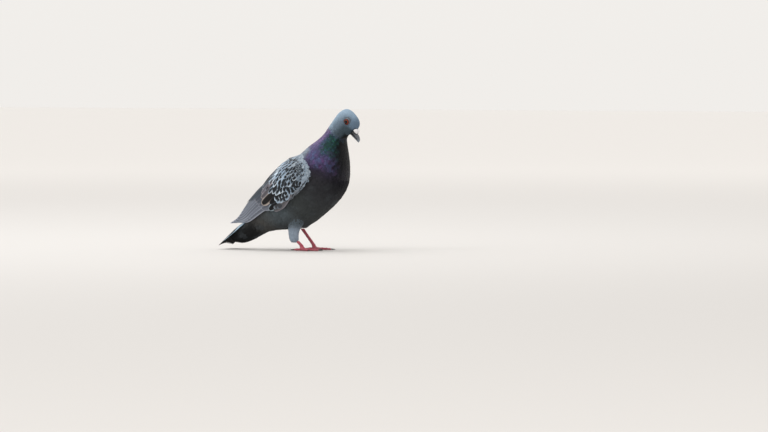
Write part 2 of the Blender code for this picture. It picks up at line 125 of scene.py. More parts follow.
FLOOR_SIZE = 30.0
FLOOR_DROP = 0.0002              # so that the soles stand clear of it
LIT_FLOOR = (0.8, 5.0)           # how far from the bird the lamps' light falls off
floor_mesh = bpy.data.meshes.new("floor")
floor_form = bmesh.new()
bmesh.ops.create_grid(floor_form, x_segments=2, y_segments=2, size=FLOOR_SIZE / 2)
floor_form.to_mesh(floor_mesh)
floor_form.free()
floor = put("floor", floor_mesh)
floor.location.z = -FLOOR_DROP
# A matt floor, painted greyer under the lamps, so it looks even.
floor_paint, floor_tree = new_material("matt_floor_paint")
floor_way = add(floor_tree, "VectorMath", {0: add(floor_tree, "NewGeometry")}, operation="LENGTH")
floor_far = add(floor_tree, "MapRange", {"Value": floor_way.outputs["Value"], "From Min": LIT_FLOOR[0],
                                         "From Max": LIT_FLOOR[1]}, interpolation_type="SMOOTHSTEP")
floor_grey = add(floor_tree, "Mix", {0: floor_far, 6: linear("#c8c6c4"), 7: linear("#efedeb")},
                 data_type="RGBA")
surface(floor_tree, {"Base Color": floor_grey.outputs[2], "Roughness": 0.9})
floor_mesh.materials.append(floor_paint)

# The room's own light is an even white, a little darker at the horizon than overhead.
world = bpy.data.worlds.new("white_room")
world.use_nodes = True
room = world.node_tree
room_way = add(room, "SeparateXYZ", {0: add(room, "TexCoord")})
room_white = add(room, "MapRange", {"Value": room_way.outputs["Z"], "From Max": 0.25, "To Min": 0.877})
room_warm = add(room, "Mix", {0: 1.0, 6: room_white, 7: linear("#fffcf8")}, data_type="RGBA",
                blend_type="MULTIPLY")
room.links.new(room_warm.outputs[2], room.nodes["Background"].inputs["Color"])
scene.world = world
scene.view_settings.view_transform = "Standard"

# place, width, watts
SOFT_BOXES = {"top_box": ((-0.5, 0.3, 2.2), 2.2, 30.0),
              "key_box": ((-1.6, -1.6, 1.9), 1.2, 12.0)}
LIT_POINT = Vector((0.0, 0.0, 0.1))
for name, (place, width, watts) in SOFT_BOXES.items():
    light = bpy.data.lights.new(name, "AREA")
    light.size = width
    light.energy = watts
    box = put(name, light)
    box.location = place
    box.rotation_euler = (LIT_POINT - Vector(place)).to_track_quat("-Z", "Y").to_euler()


# ------------------------------------------------------------------------------ form of the coat
# The flesh nodes and the small-feathered part of each wing, drawn together as one closed surface.
# The tips of the feathers end on it, and the skin lies inside it.
FLESH = ("head", "neck", "breast", "belly", "rump", "thigh_right", "thigh_left")
WING_FLESH = ("wing_right_coverts", "wing_left_coverts")
SEAM_FILL = 0.0004
FINE_VOXEL, FINE_ROUNDS = 0.0013, 6
COARSE_VOXEL, COARSE_ROUNDS = 0.005, 3
MERGED = 1e-6                    # corners nearer than this are one
RELAX = 0.5


def drawn_together(names, voxel, rounds, taken_back=0.0):
    """One smooth closed mesh round some nodes: its corners, their normals, its faces and edges."""
    form = bmesh.new()
    for name in names:
        piece = bmesh.new()
        piece.from_mesh(nodes[name].data)
        bmesh.ops.remove_doubles(piece, verts=piece.verts, dist=MERGED)
        piece.normal_update()
        for corner in piece.verts:
            corner.co += corner.normal * SEAM_FILL
        mesh = bpy.data.meshes.new(name + "_copy")
        piece.to_mesh(mesh)
        piece.free()
        form.from_mesh(mesh)
        bpy.data.meshes.remove(mesh)
    mesh = bpy.data.meshes.new("form")
    form.to_mesh(mesh)
    form.free()
    helper = put("form", mesh)
    remesh = helper.modifiers.new("Remesh", "REMESH")
    remesh.mode = "VOXEL"
    remesh.voxel_size = voxel
    relax = helper.modifiers.new("Smooth", "SMOOTH")
    relax.factor = RELAX
    relax.iterations = rounds
    made = bpy.data.meshes.new_from_object(helper.evaluated_get(bpy.context.evaluated_depsgraph_get()))
    bpy.data.objects.remove(helper, do_unlink=True)
    places, normals = np.empty((2, len(made.vertices) * 3))
    made.vertices.foreach_get("co", places)
    made.vertices.foreach_get("normal", normals)
    faces = np.array([tuple(face.vertices) for face in made.polygons])
    edges = np.array([tuple(edge.vertices) for edge in made.edges])
    places, normals = places.reshape(-1, 3), normals.reshape(-1, 3)
    return places - normals * taken_back, normals, faces, edges


def tree_of(places, faces):
    """A search tree over a mesh."""
    return BVHTree.FromPolygons([Vector(place) for place in places], [tuple(face) for face in faces])


def unit(vectors):
    """Vectors drawn to a length of one."""
    return vectors / np.maximum(np.linalg.norm(vectors, axis=-1, keepdims=True), 1e-12)


coat_places, coat_normals, coat_faces, coat_edges = drawn_together(
    FLESH + WING_FLESH, FINE_VOXEL, FINE_ROUNDS, SEAM_FILL)
coat_slants = unit(coat_normals[coat_faces].mean(1))
coat_tree = tree_of(coat_places, coat_faces)


def centre_of(*names):
    """The middle of the box round some nodes."""
    boxes = [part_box(name) for name in names]
    low = np.min([box[0] for box in boxes], axis=0)
    high = np.max([box[1] for box in boxes], axis=0)
    return (low + high) / 2


# ------------------------------------------------------------------------------ lie of the coat
# Small feathers point away from the bill, over the head and down the neck to the tail and the
# ankles.  Their lie is the slope of a field that is 0 at the bill and grows evenly to those ends.
BILL_EDGE = 0.013
TAIL_EDGE = 0.010
ANKLE_EDGE = 0.0035
LIE_NEIGHBOURS = 5
flow_places, flow_normals, _, flow_links = drawn_together(FLESH + WING_FLESH, COARSE_VOXEL, COARSE_ROUNDS)
bill_place = centre_of("bill_upper", "cere")
count = len(flow_places)
balance = np.zeros((count, count))
balance[flow_links[:, 0], flow_links[:, 1]] = -1.0
balance[flow_links[:, 1], flow_links[:, 0]] = -1.0
balance[np.arange(count), np.arange(count)] = -balance.sum(1)
level = np.full(count, np.nan)
level[np.linalg.norm(flow_places - bill_place, axis=1) < BILL_EDGE] = 0.0
level[flow_places[:, 0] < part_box("rump")[0][0] + TAIL_EDGE] = 1.0
for name in ("thigh_right", "thigh_left"):
    low, high = np.array(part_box(name))
    inside = np.all((flow_places > low - ANKLE_EDGE) & (flow_places < high + ANKLE_EDGE), axis=1)
    level[inside & (flow_places[:, 2] < low[2] + ANKLE_EDGE)] = 1.0
known = ~np.isnan(level)
free = ~known
level[free] = np.linalg.solve(balance[np.ix_(free, free)],
                              -balance[np.ix_(free, known)] @ level[known])


def along_surface(ways, normals):
    """Ways laid flat on a surface, with a length of one."""
    return unit(ways - normals * (ways * normals).sum(1, keepdims=True))


slopes = np.zeros((count, 3))
for start, end in (flow_links.T, flow_links.T[::-1]):
    step = flow_places[end] - flow_places[start]
    rise = (level[end] - level[start]) / (step ** 2).sum(1)
    np.add.at(slopes, start, step * rise[:, None])
slopes = along_surface(slopes, flow_normals)


def search_of(places, numbers=None):
    """A search for the nearest of some places, by their numbers."""
    numbers = range(len(places)) if numbers is None else numbers
    tree = KDTree(len(numbers))
    for number in numbers:
        tree.insert(places[number], number)
    tree.balance()
    return tree


flow_tree = search_of(flow_places)


def lie_at(points, normals):
    """The way a feather points at each place, along the surface."""
    lies = []
    for point in points:
        near = flow_tree.find_n(point, LIE_NEIGHBOURS)
        lies.append(sum(slopes[index] / (distance + MM) for _, index, distance in near))
    return along_surface(np.array(lies), normals)


# ------------------------------------------------------------------------------ markings
# The middle line runs from the bill through the head, neck and trunk to the tail.  A mark's place
# is its length along that line and its angle round it, from 0 at the back to 180 at the belly.
LINE_STEPS = 12
LINE_BLEND = 0.006
HEAD_END = 51.5                  # millimetres along the middle line
WAVES, WAVES_HIGH = 6, 3.4       # how many make up the patches, and how high they reach together
line_stops = [Vector(centre_of(*names)) for names in
              (("bill_upper", "cere"), ("head",), ("neck",), ("breast",), ("belly",), ("rump",),
               ("tail",))]
line_points = []
for index in range(len(line_stops) - 1):
    before = line_stops[max(index - 1, 0)]
    start, end = line_stops[index], line_stops[index + 1]
    after = line_stops[min(index + 2, len(line_stops) - 1)]
    for step in range(LINE_STEPS):
        share = step / LINE_STEPS
        line_points.append(0.5 * (2 * start + (end - before) * share
                                  + (2 * before - 5 * start + 4 * end - after) * share ** 2
                                  + (3 * start - before - 3 * end + after) * share ** 3))
line_points = np.array([tuple(point) for point in line_points + [line_stops[-1]]])
line_lengths = np.concatenate([[0.0], np.cumsum(np.linalg.norm(np.diff(line_points, axis=0), axis=1))])
line_ways = unit(np.gradient(line_points, axis=0))


def place_on_line(points):
    """Millimetres along the middle line and degrees round it."""
    gaps = np.linalg.norm(points[:, None] - line_points[None], axis=2)
    shares = np.exp(-(gaps ** 2 - gaps.min(1, keepdims=True) ** 2) / (2 * LINE_BLEND ** 2))
    shares /= shares.sum(1, keepdims=True)
    way = unit(shares @ line_ways)
    backward = unit(np.stack([way[:, 2], 0 * way[:, 2], -way[:, 0]], 1))
    outward = points - shares @ line_points
    around = np.degrees(np.arctan2(np.abs(outward[:, 1]), (outward * backward).sum(1)))
    return shares @ line_lengths / MM, around


def between(low, high, values):
    """0 at low, 1 at high and a smooth step from one to the other."""
    share = np.clip((values - low) / (high - low), 0.0, 1.0)
    return share * share * (3 - 2 * share)


def laid_over(under, *layers):
    """Colours with others laid over them in turn: a hex code and a share for each place."""
    for code, share in layers:
        under = under + (np.array(linear(code)[:3]) - under) * np.asarray(share)[..., None]
    return under


def waves(points, size, seed):
    """Soft random patches, mostly between -1 and 1, of about a size in millimetres."""
    made = np.random.default_rng(seed)
    total = np.zeros(len(points))
    for _ in range(WAVES):
        way = made.normal(size=3)
        way *= 2 * math.pi / (size * MM) / np.linalg.norm(way) * made.uniform(0.6, 1.4)
        total += np.sin(points @ way + made.uniform(0, 2 * math.pi))
    return total / WAVES_HIGH


def body_marks(points, legs=False):
    """The colour of the head, neck and trunk at each place, or of the feathered legs."""
    along, around = place_on_line(points)
    fine, broad = waves(points, 6, 2), waves(points, 22, 6)
    neck = between(HEAD_END - 3, HEAD_END + 5, along + 2.5 * fine)
    sheen = between(114, 96, along + 5 * broad) * between(28, 52, around)
    green = neck * between(88, 72, along + 6 * fine) * between(78, 98, around + 9 * fine)
    bare = np.zeros((len(points), 3))
    colour = laid_over(
        bare,
        # the trunk: charcoal breast, slate belly and flanks, black under the tail, grey lower back
        ("#2e2e32", np.ones(len(points))),
        ("#3b3f40", between(125, 165, along)),
        ("#4d555a", between(165, 190, along) * between(160, 120, around)),
        ("#464645", between(200, 235, along)),
        ("#1b1c1d", between(232, 258, along) * between(60, 110, around)),
        ("#42474b", 0.5 * between(0.1, 0.9, waves(points, 22, 1)) * between(118, 135, along)),
        ("#808c99", between(70, 44, around) * between(80, 92, along)),
        ("#8893a0", between(75, 45, around) * between(195, 215, along)),
        # near black under the front of the breast: partly its own charcoal, partly painted shade
        ("#151519", between(132, 165, around) * between(145, 110, along)),
        # the neck: green at the sides, violet and purple behind and below, black-green in front, darkened
        # underneath by painted shade
        ("#2d2837", between(128, 106, along) * between(28, 52, around)),
        ("#464265", sheen),
        ("#475478", 0.8 * sheen * between(-0.2, 0.8, waves(points, 7, 3))),
        ("#53345f", 0.8 * sheen * between(84, 97, along) * between(-0.4, 0.9, waves(points, 6, 4))),
        ("#77638c", neck * between(84, 62, around) * between(92, 76, along)
         * between(-0.9, 0.5, waves(points, 4, 7))),
        ("#20393a", green),
        ("#255a48", 0.7 * green * between(0.0, 0.9, waves(points, 3.0, 5))),
        ("#2d4c5c", 0.7 * green * between(0.1, 0.9, waves(points, 3.6, 8))),
        # the black-green front of the neck, made near black partly by painted shade
        ("#0b0c0f", neck * between(112, 158, around + 8 * fine) * between(150, 95, along)),
        ("#7f8a98", between(76, 54, around) * between(84, 92, along)))
    # The head: slate, paler on the crown and darker on the forehead, the cheeks and the near-black throat,
    # partly its own colour and partly painted light on top and painted shade underneath.
    head = laid_over(bare, ("#8ea3b6", np.ones(len(points))),
                     ("#687888", between(30, 75, around)),
                     ("#667a8e", between(28, 14, along)),
                     ("#424f58", between(72, 112, around)),
                     ("#0e1113", between(125, 160, around) * between(12, 28, along)))
    colour = colour + (head - colour) * (1 - neck)[:, None]
    # The legs: slate above, pale blue-grey over the ankle.
    return laid_over(colour, ("#525c64", legs * np.ones(len(points))),
                     ("#8c9aaa", legs * between(40 * MM, 26 * MM, points[:, 2])))


# ------------------------------------------------------------------------------ skin
# One soft skin runs over all the flesh, inside the solids by the coat's depth.  Down and the
# lower halves of feathers hide it, so it is matt and takes the colours of the coat over it.
COAT_DEPTH = {"head": 0.9, "neck": 1.5, "breast": 2.4, "belly": 2.4, "rump": 1.9, "thigh": 0.8,
              "wing": 1.7}
DEPTH_ROUNDS = 12
SPIN_SHARE = 380.0               # degrees round the body that the map's width stands for
BODY_STRIP = (0.02, 0.8)         # start and width on the map
LEG_STRIP = (0.86, 0.12, 0.06)   # start and width on the map, and the height it covers in metres

regions = {name: name.split("_")[0] for name in FLESH + WING_FLESH}
region_gaps = []
for name in regions:
    mesh = nodes[name].data
    node_tree = tree_of([corner.co for corner in mesh.vertices], [face.vertices for face in mesh.polygons])
    region_gaps.append([node_tree.find_nearest(Vector(place))[3] for place in coat_places])
coat_region = np.array(list(regions.values()))[np.argmin(region_gaps, axis=0)]


def unwrapped(points, legs):
    """A map that rolls the skin out along the body's middle line, the thighs in their own strip."""
    along, around = place_on_line(points)
    spin = 0.5 + np.where(points[:, 1] < 0, -around, around) / SPIN_SHARE
    body = BODY_STRIP[0] + BODY_STRIP[1] * along * MM / line_lengths[-1]
    leg = LEG_STRIP[0] + LEG_STRIP[1] * points[:, 2] / LEG_STRIP[2]
    return np.stack([np.where(legs, leg, body), spin], 1)


def keep_mesh(name, places, faces, look, colours, maps=()):
    """A smooth mesh object from arrays, with the colours of its corners and its UV maps."""
    mesh = bpy.data.meshes.new(name)
    faces = np.asarray(faces, dtype=np.int32).reshape(-1, 4)
    places = np.asarray(places).reshape(-1, 3)
    mesh.vertices.add(len(places))
    mesh.vertices.foreach_set("co", np.ascontiguousarray(places, dtype=np.float32).ravel())
    mesh.loops.add(faces.size)
    mesh.loops.foreach_set("vertex_index", faces.ravel())
    mesh.polygons.add(len(faces))
    mesh.polygons.foreach_set("loop_start", np.arange(len(faces), dtype=np.int32) * 4)
    mesh.update(calc_edges=True)
    for map_name, spots in dict(maps).items():
        layer = mesh.uv_layers.new(name=map_name)
        spots = np.asarray(spots, dtype=np.float32).reshape(-1, 2)
        layer.data.foreach_set("uv", spots[faces.ravel()].ravel())
    marks = mesh.color_attributes.new("markings", "FLOAT_COLOR", "POINT")
    marks.data.foreach_set("color", np.hstack([colours.reshape(-1, 3), np.ones((len(places), 1))]).ravel())
    mesh.polygons.foreach_set("use_smooth", np.full(len(faces), True))
    mesh.materials.append(look)
    return put(name, mesh)


def marked_surface(tree, shade, finish):
    """Ends a material's tree with a shader in the piece's own colours, times a shade."""
    marks = add(tree, "Attribute", attribute_name="markings")
    colour = add(tree, "Mix", {0: 1.0, 6: marks, 7: shade}, data_type="RGBA", blend_type="MULTIPLY")
    surface(tree, {"Base Color": colour.outputs[2], **finish})


depths = np.array([COAT_DEPTH[name] for name in coat_region]) * MM
for _ in range(DEPTH_ROUNDS):    # so that the depth changes evenly from part to part
    total = depths.copy()
    number = np.ones(len(depths))
    for near, far in (coat_edges.T, coat_edges.T[::-1]):
        np.add.at(total, near, depths[far])
        np.add.at(number, near, 1)
    depths = total / number

# Skin under feathers: matt, and a little darker than the feathers over it.
skin_look, skin_tree = new_material("downy_skin")
skin_grain = add(skin_tree, "TexNoise", {"Scale": 900.0, "Detail": 4.0})
skin_shade = add(skin_tree, "MapRange", {"Value": skin_grain, "To Min": 0.62, "To Max": 0.92})
marked_surface(skin_tree, skin_shade, {"Roughness": 0.9})

skin_legs = coat_region == "thigh"
skin = keep_mesh("skin", coat_places - coat_normals * depths[:, None], coat_faces, skin_look,
                 body_marks(coat_places, skin_legs), {"OFBake": unwrapped(coat_places, skin_legs)})
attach(skin, "root")
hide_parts(*FLESH, *WING_FLESH)

# ------------------------------------------------------------------------------ small feathers
# Each small feather is a thin, slightly hollow vane.  It grows from the skin, leans back along the
# body and shows little more than its rounded tip from under the feathers ahead of it.
BAKE_PATCH = 0.003               # how much of the map one feather takes
VANE_ROWS = np.array([0.0, 0.24, 0.46, 0.66, 0.82, 0.94, 1.0])
VANE_SPREAD = np.array([-1.0, -0.55, 0.0, 0.55, 1.0])
WIDEST = 0.58                    # how far along the vane it is widest
HOLLOW = 0.12                    # in half widths
BARB_SLANT = 0.9
FEATHER_STOPS = (5, 25, 50, 75, 110, 150, 220, 260)        # along the middle line
FEATHER_STEPS = (0.85, 1.1, 1.4, 1.75, 2.3, 2.6, 2.8, 3.0)     # how far apart they stand there
FEATHER_LENGTHS = (2.9, 3.5)     # in steps, as the next three are
FEATHER_HALVES = (0.84, 1.05)
TIP_LIFTS = (0.02, 0.08)         # how far the tips stand off the coat
COVERED = 0.7                    # where along a feather it must lie off the wing
ROOT_SINK = 0.4                  # how deep the roots lie, as a share of the coat's depth
SHADES = {"neck": 0.16}          # how much the feathers' shades differ, where it isn't COMMON_SHADES
COMMON_SHADES = 0.07
THIGH_STEP = 0.6                 # as a share of the body's
ANKLE_FROM, ANKLE_TO = 34, 26    # heights in millimetres, between which they come to hang straight


def vane_outline(rows, root=0.42, tip=0.10):
    """Half widths along a vane of half width 1: a narrow root, then a rounded tip."""
    widening = root + (1 - root) * np.sin(0.5 * math.pi * np.minimum(rows / WIDEST, 1.0))
    rounding = np.sqrt(1 - np.clip((rows - WIDEST) / (1 - WIDEST), 0.0, 1.0) ** 2)
    return np.maximum(widening * rounding, tip)


def scatter(mask, spacing_at, candidates, seed):
    """Places on the masked faces of the coat, no two nearer than the spacing there."""
    made = np.random.default_rng(seed)
    quads = coat_places[coat_faces[mask]]
    areas = np.linalg.norm(np.cross(quads[:, 2] - quads[:, 0], quads[:, 3] - quads[:, 1]), axis=1)
    chosen = made.choice(len(quads), candidates, p=areas / areas.sum())
    across, up = made.random((2, candidates, 1))
    one, two, three, four = quads[chosen].transpose(1, 0, 2)
    points = (one * (1 - across) + two * across) * (1 - up) + (four * (1 - across) + three * across) * up
    spacing = spacing_at(points)
    tree = search_of(points)
    open_place = np.ones(candidates, dtype=bool)
    kept = []
    for index in range(candidates):
        if open_place[index]:
            kept.append(index)
            for _, near, _ in tree.find_range(points[index], spacing[index]):
                open_place[near] = False
    return points[kept], coat_slants[np.flatnonzero(mask)[chosen[kept]]]


def body_vanes(points, normals, lies, lengths, half_widths, heights, hang=None):
    """Corners of small vanes laid over the coat from their roots, and the middle of each at its widest."""
    roots, slants, ways = points, normals, lies
    paths = np.empty((len(points), len(VANE_ROWS), 3))
    tops = np.empty_like(paths)
    paths[:, 0], tops[:, 0] = points, normals
    for row in range(1, len(VANE_ROWS)):
        points = points + lies * (lengths * (VANE_ROWS[row] - VANE_ROWS[row - 1]))[:, None]
        found = [coat_tree.find_nearest(Vector(point)) for point in points]
        points = np.array([place for place, *_ in found])
        normals = coat_slants[[face for _, _, face, _ in found]]
        lies = along_surface(lies, normals)
        paths[:, row], tops[:, row] = points, normals
    if hang is not None:
        hanging = roots[:, None] + ways[:, None] * (lengths[:, None] * VANE_ROWS)[..., None]
        paths = paths + (hanging - paths) * hang
        tops = unit(tops + (slants[:, None] - tops) * hang)
    across = unit(np.cross(tops, unit(np.gradient(paths, axis=1))))
    spread = VANE_SPREAD[:, None]
    drop = -HOLLOW * half_widths.mean(1)[:, None, None, None] * spread ** 2
    half = (half_widths * vane_outline(VANE_ROWS))[:, :, None, None]
    corners = (paths[:, :, None] + across[:, :, None] * spread * half
               + tops[:, :, None] * (heights[:, :, None, None] + drop))
    return corners, paths[:, 4]


def joined_vanes(name, places, colours, rows, spread, spots, patch, look):
    """Joins vanes (number, rows, columns, 3) into one mesh, each with its patch of the skin's map."""
    number, high, wide = places.shape[:3]
    corner = np.arange(number * high * wide).reshape(number, high, wide)
    faces = np.stack([corner[:, :-1, :-1], corner[:, 1:, :-1], corner[:, 1:, 1:], corner[:, :-1, 1:]], -1)
    vane = np.stack(np.broadcast_arrays(0.5 + spread[None, None] / 2, rows[None, :, None],
                                        np.zeros((number, 1, 1)))[:2], -1)
    bake = spots[:, None, None] + patch * (vane - 0.5)
    return keep_mesh(name, places, faces, look, np.broadcast_to(colours, places.shape),
                     {"OFBake": bake, "vane": vane})


def feather_look(name, barb_lines, roughness, metallic, gloss, root_shade):
    """Feather: fine barbs slant from the shaft, so the vane is faintly lined and softly shiny.

    The lines are drawn coarser than real barbs, so that they show.
    """
    made, tree = new_material(name)
    vane = add(tree, "SeparateXYZ", {0: add(tree, "UVMap", uv_map="vane")})
    side = add(tree, "Math", {0: vane, 1: 0.5}, operation="SUBTRACT")
    out = add(tree, "Math", {0: side}, operation="ABSOLUTE")
    slant = add(tree, "Math", {0: out, 1: -BARB_SLANT, 2: vane.outputs["Y"]}, operation="MULTIPLY_ADD")
    barbs = add(tree, "Math", {0: slant, 1: barb_lines * 2 * math.pi}, operation="MULTIPLY")
    ripple = add(tree, "Math", {0: barbs}, operation="SINE")
    lining = add(tree, "MapRange", {"Value": ripple, "From Min": -1.0, "To Min": 0.90, "To Max": 1.08})
    shade = add(tree, "MapRange", {"Value": vane.outputs["Y"], "From Max": 0.6, "To Min": root_shade})
    both = add(tree, "Math", {0: lining, 1: shade}, operation="MULTIPLY")
    bump = add(tree, "Bump", {"Strength": 0.25, "Distance": 0.1 * MM, "Height": ripple})
    marked_surface(tree, both, {"Roughness": roughness, "Metallic": metallic, "Specular IOR Level": gloss,
                                "Normal": bump})
    return made


def spacing_at(points):
    """How far apart small feathers stand: least on the face, most on the belly."""
    return np.interp(place_on_line(points)[0], FEATHER_STOPS, FEATHER_STEPS) * MM


def leg_spacing_at(points):
    """How far apart the thigh's feathers stand."""
    return THIGH_STEP * spacing_at(points)


def off_the_wing(points):
    """Which places lie over the body and not over a wing."""
    faces = [coat_tree.find_nearest(Vector(point))[2] for point in points]
    return coat_region[coat_faces[faces, 0]] != "wing"


# The body's feather is soft and matt.  The neck's has flat, glossy barbs with a metallic tinge.
soft_feather = feather_look("soft_slate_feather", 9, 0.7, 0.0, 0.08, 0.78)
neck_feather = feather_look("glossy_neck_feather", 7, 0.45, 0.15, 0.12, 0.65)
# region, look, slot, candidates, seed
BODY_COATS = (("head", soft_feather, "head_feathers", 26000, 11),
              ("neck", neck_feather, "neck_feathers", 26000, 12),
              ("breast", soft_feather, "breast_feathers", 24000, 13),
              ("belly", soft_feather, "belly_feathers", 16000, 14),
              ("rump", soft_feather, "belly_feathers", 12000, 15),
              ("thigh", soft_feather, "belly_feathers", 9000, 16))
for region, look, slot, candidates, seed in BODY_COATS:
    dice = np.random.default_rng(100 + seed)
    leg = region == "thigh"
    step_at = leg_spacing_at if leg else spacing_at
    roots, slants = scatter(coat_region[coat_faces[:, 0]] == region, step_at, candidates, seed)
    step = step_at(roots)
    lies = lie_at(roots, slants)
    if leg:                      # none grow from the flat ends of the sleeves
        steep = np.abs(slants[:, 2]) < 0.75
        roots, slants, lies, step = (row[steep] for row in (roots, slants, lies, step))
        down = np.array([0.15, 0.0, -1.0])
        lies = unit(lies + unit(down - slants * (slants @ down)[:, None]))
    turn = dice.normal(0, 0.12, len(roots))[:, None]
    lies = unit(lies * np.cos(turn) + np.cross(slants, lies) * np.sin(turn))
    lengths = step * dice.uniform(*FEATHER_LENGTHS, len(roots))
    clear = off_the_wing(roots + lies * lengths[:, None] * COVERED)
    roots, slants, lies, step, lengths = (row[clear] for row in (roots, slants, lies, step, lengths))
    number = len(roots)
    # The thigh's hang straight lower down, and the last ones reach past the ankle.
    hang = between(ANKLE_FROM, ANKLE_TO, roots[:, 2] / MM)[:, None, None] if leg else None
    half = step * dice.uniform(*FEATHER_HALVES, number)
    sink = COAT_DEPTH[region] * MM * ROOT_SINK
    stand = sink + step * dice.uniform(*TIP_LIFTS, number)
    heights = -sink + stand[:, None] * VANE_ROWS[None] ** 0.8
    half = half[:, None] * dice.uniform(0.93, 1.05, heights.shape)
    tint = dice.normal(1.0, SHADES.get(region, COMMON_SHADES), number)
    places, middles = body_vanes(roots, slants, lies, lengths, half, heights, hang)
    colour = body_marks(middles, leg) * tint[:, None]
    coat = joined_vanes(region + "_feathers", places, colour[:, None, None], VANE_ROWS, VANE_SPREAD,
                        unwrapped(roots, np.full(number, leg)), BAKE_PATCH, look)
    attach(coat, "root")

# ------------------------------------------------------------------------------ sheet of the wing
# A folded wing is one smooth sheet over the flank.  A place on it is the distance back from the
# bend, in millimetres, and a share of the way from its upper edge on the back to its lower edge.
WING_AXIS = ((49.8, 119.0), (-95.2, 34.3))      # along and up: a line inside the body under it
SHEET_FROM, SHEET_TO, SHEET_STEP = 8.0, 168.0, 2.5
SHEET_SHARES = np.linspace(0.0, 1.0, 33)
SHEET_ANGLES = np.arange(2.0, 140.0, 1.0)       # degrees round the axis, from the back
SHEET_ROUNDS = 10
SHEET_MARGIN = 0.03              # how far past its edges a vane may lie
RAY_REACH = 0.12

wing_form = bmesh.new()
for name in ("wing_right_coverts", "wing_right_secondaries", "wing_right_primaries"):
    wing_form.from_mesh(nodes[name].data)
wing_tree = BVHTree.FromBMesh(wing_form)
wing_form.free()
axis_start, axis_end = (Vector((along * MM, 0.0, up * MM)) for along, up in WING_AXIS)
axis_way = (axis_end - axis_start).normalized()
axis_up = Vector((axis_way.z, 0.0, -axis_way.x))


def wing_hit(back, degrees):
    """Where a line drawn inwards at an angle from the back meets the right wing's outer face."""
    angle = math.radians(degrees)
    outward = axis_up * math.cos(angle) - Vector((0.0, math.sin(angle), 0.0))
    start = axis_start + axis_way * back * MM
    return wing_tree.ray_cast(start + outward * RAY_REACH, -outward, RAY_REACH)[0]


sheet_backs = np.arange(SHEET_FROM, SHEET_TO, SHEET_STEP)
sheet_rows = []
for back in sheet_backs:
    angles = [angle for angle in SHEET_ANGLES if wing_hit(back, angle)]
    hits = []
    for angle in np.interp(SHEET_SHARES, [0, 1], [angles[0], angles[-1]]):
        hits.append(wing_hit(back, angle) or hits[-1])
    sheet_rows.append([tuple(hit) for hit in hits])
sheet = np.array(sheet_rows)
for _ in range(SHEET_ROUNDS):    # takes the corners of the solids off
    for flat in (sheet, sheet.transpose(1, 0, 2)):
        flat[1:-1] += 0.5 * ((flat[:-2] + flat[2:]) / 2 - flat[1:-1])
sheet_widths = np.linalg.norm(np.diff(sheet, axis=1), axis=2).sum(1) / MM
sheet_tops = unit(np.cross(np.gradient(sheet, axis=0), np.gradient(sheet, axis=1)))
sheet_tops *= np.sign(sheet_tops * (sheet - np.array(axis_start)))[..., 1:2]


def on_wing(side, backs, shares, lifts):
    """Places on a wing, lifted off its sheet by some millimetres; side is -1 for the right one."""
    row = (backs - SHEET_FROM) / SHEET_STEP
    col = np.clip(shares, -SHEET_MARGIN, 1 + SHEET_MARGIN) * (len(SHEET_SHARES) - 1)
    low_row = np.clip(row, 0, len(sheet_backs) - 2).astype(int)
    low_col = np.clip(col, 0, len(SHEET_SHARES) - 2).astype(int)
    up, over = (row - low_row)[..., None], (col - low_col)[..., None]

    def blend(table):
        """The sheet's values between its rows and columns."""
        return ((table[low_row, low_col] * (1 - over) + table[low_row, low_col + 1] * over) * (1 - up)
                + (table[low_row + 1, low_col] * (1 - over) + table[low_row + 1, low_col + 1] * over) * up)

    places = blend(sheet) + unit(blend(sheet_tops)) * lifts[..., None] * MM
    return places * np.array([1, -side, 1])


# ------------------------------------------------------------------------------ wing coverts
# The shield of the wing.  Small pale coverts edge it in front and below, and rows of larger ones
# lie behind, each pale grey with a black mark that leaves its tip and one side pale.
EDGE_FALL = np.array([0.0, 0.0, -0.7])   # the edge's coverts run down as well as back
EDGE_STEP = 1.5 * MM                     # how far apart they stand
EDGE_CANDIDATES = 16000
EDGE_LENGTHS = (2.6, 3.2)                # in steps
EDGE_HALVES = (0.62, 0.78)
SHIELD_ROWS = 9
SHIELD_FROM, SHIELD_TO = 13.0, 62.0      # where their roots lie, back from the bend
SHIELD_APART = (5.6, 7.8)                # from feather to feather in the first row and the last
SHIELD_LENGTHS = (13.5, 20.5)
SHIELD_LIFTS = (-1.0, 0.45)              # of the roots and the tips
FINE_ROWS = np.array([0.0, 0.16, 0.30, 0.42, 0.52, 0.62, 0.71, 0.79, 0.86, 0.92, 0.97, 1.0])
FINE_SPREAD = np.array([-1.0, -0.72, -0.44, -0.2, 0.0, 0.2, 0.44, 0.72, 1.0])


def upright(values):
    """One value for each vane, set to go with its rows and columns."""
    return values[:, None, None]


def wing_vanes(side, backs, shares, lengths, half_widths, drifts, lifts, rows, spread, hollow=HOLLOW):
    """Corners of vanes on a wing: roots, lengths and half widths in mm, drift in shares of its depth."""
    along = rows[None, :, None]
    back = upright(backs) + upright(lengths) * along
    half = upright(half_widths) * vane_outline(rows)[None, :, None]
    depth = np.interp(back, sheet_backs, sheet_widths)
    share = upright(shares) + upright(drifts) * along + spread * half / depth
    lift = lifts[0] + (lifts[1] - lifts[0]) * along ** 0.7
    back, share, lift = np.broadcast_arrays(back, share, lift + hollow * half * (1 - spread ** 2))
    return on_wing(side, back, share, lift)


def hex_rows(*codes):
    """Linear colours, one row for each hex code."""
    return np.array([linear(code)[:3] for code in codes])


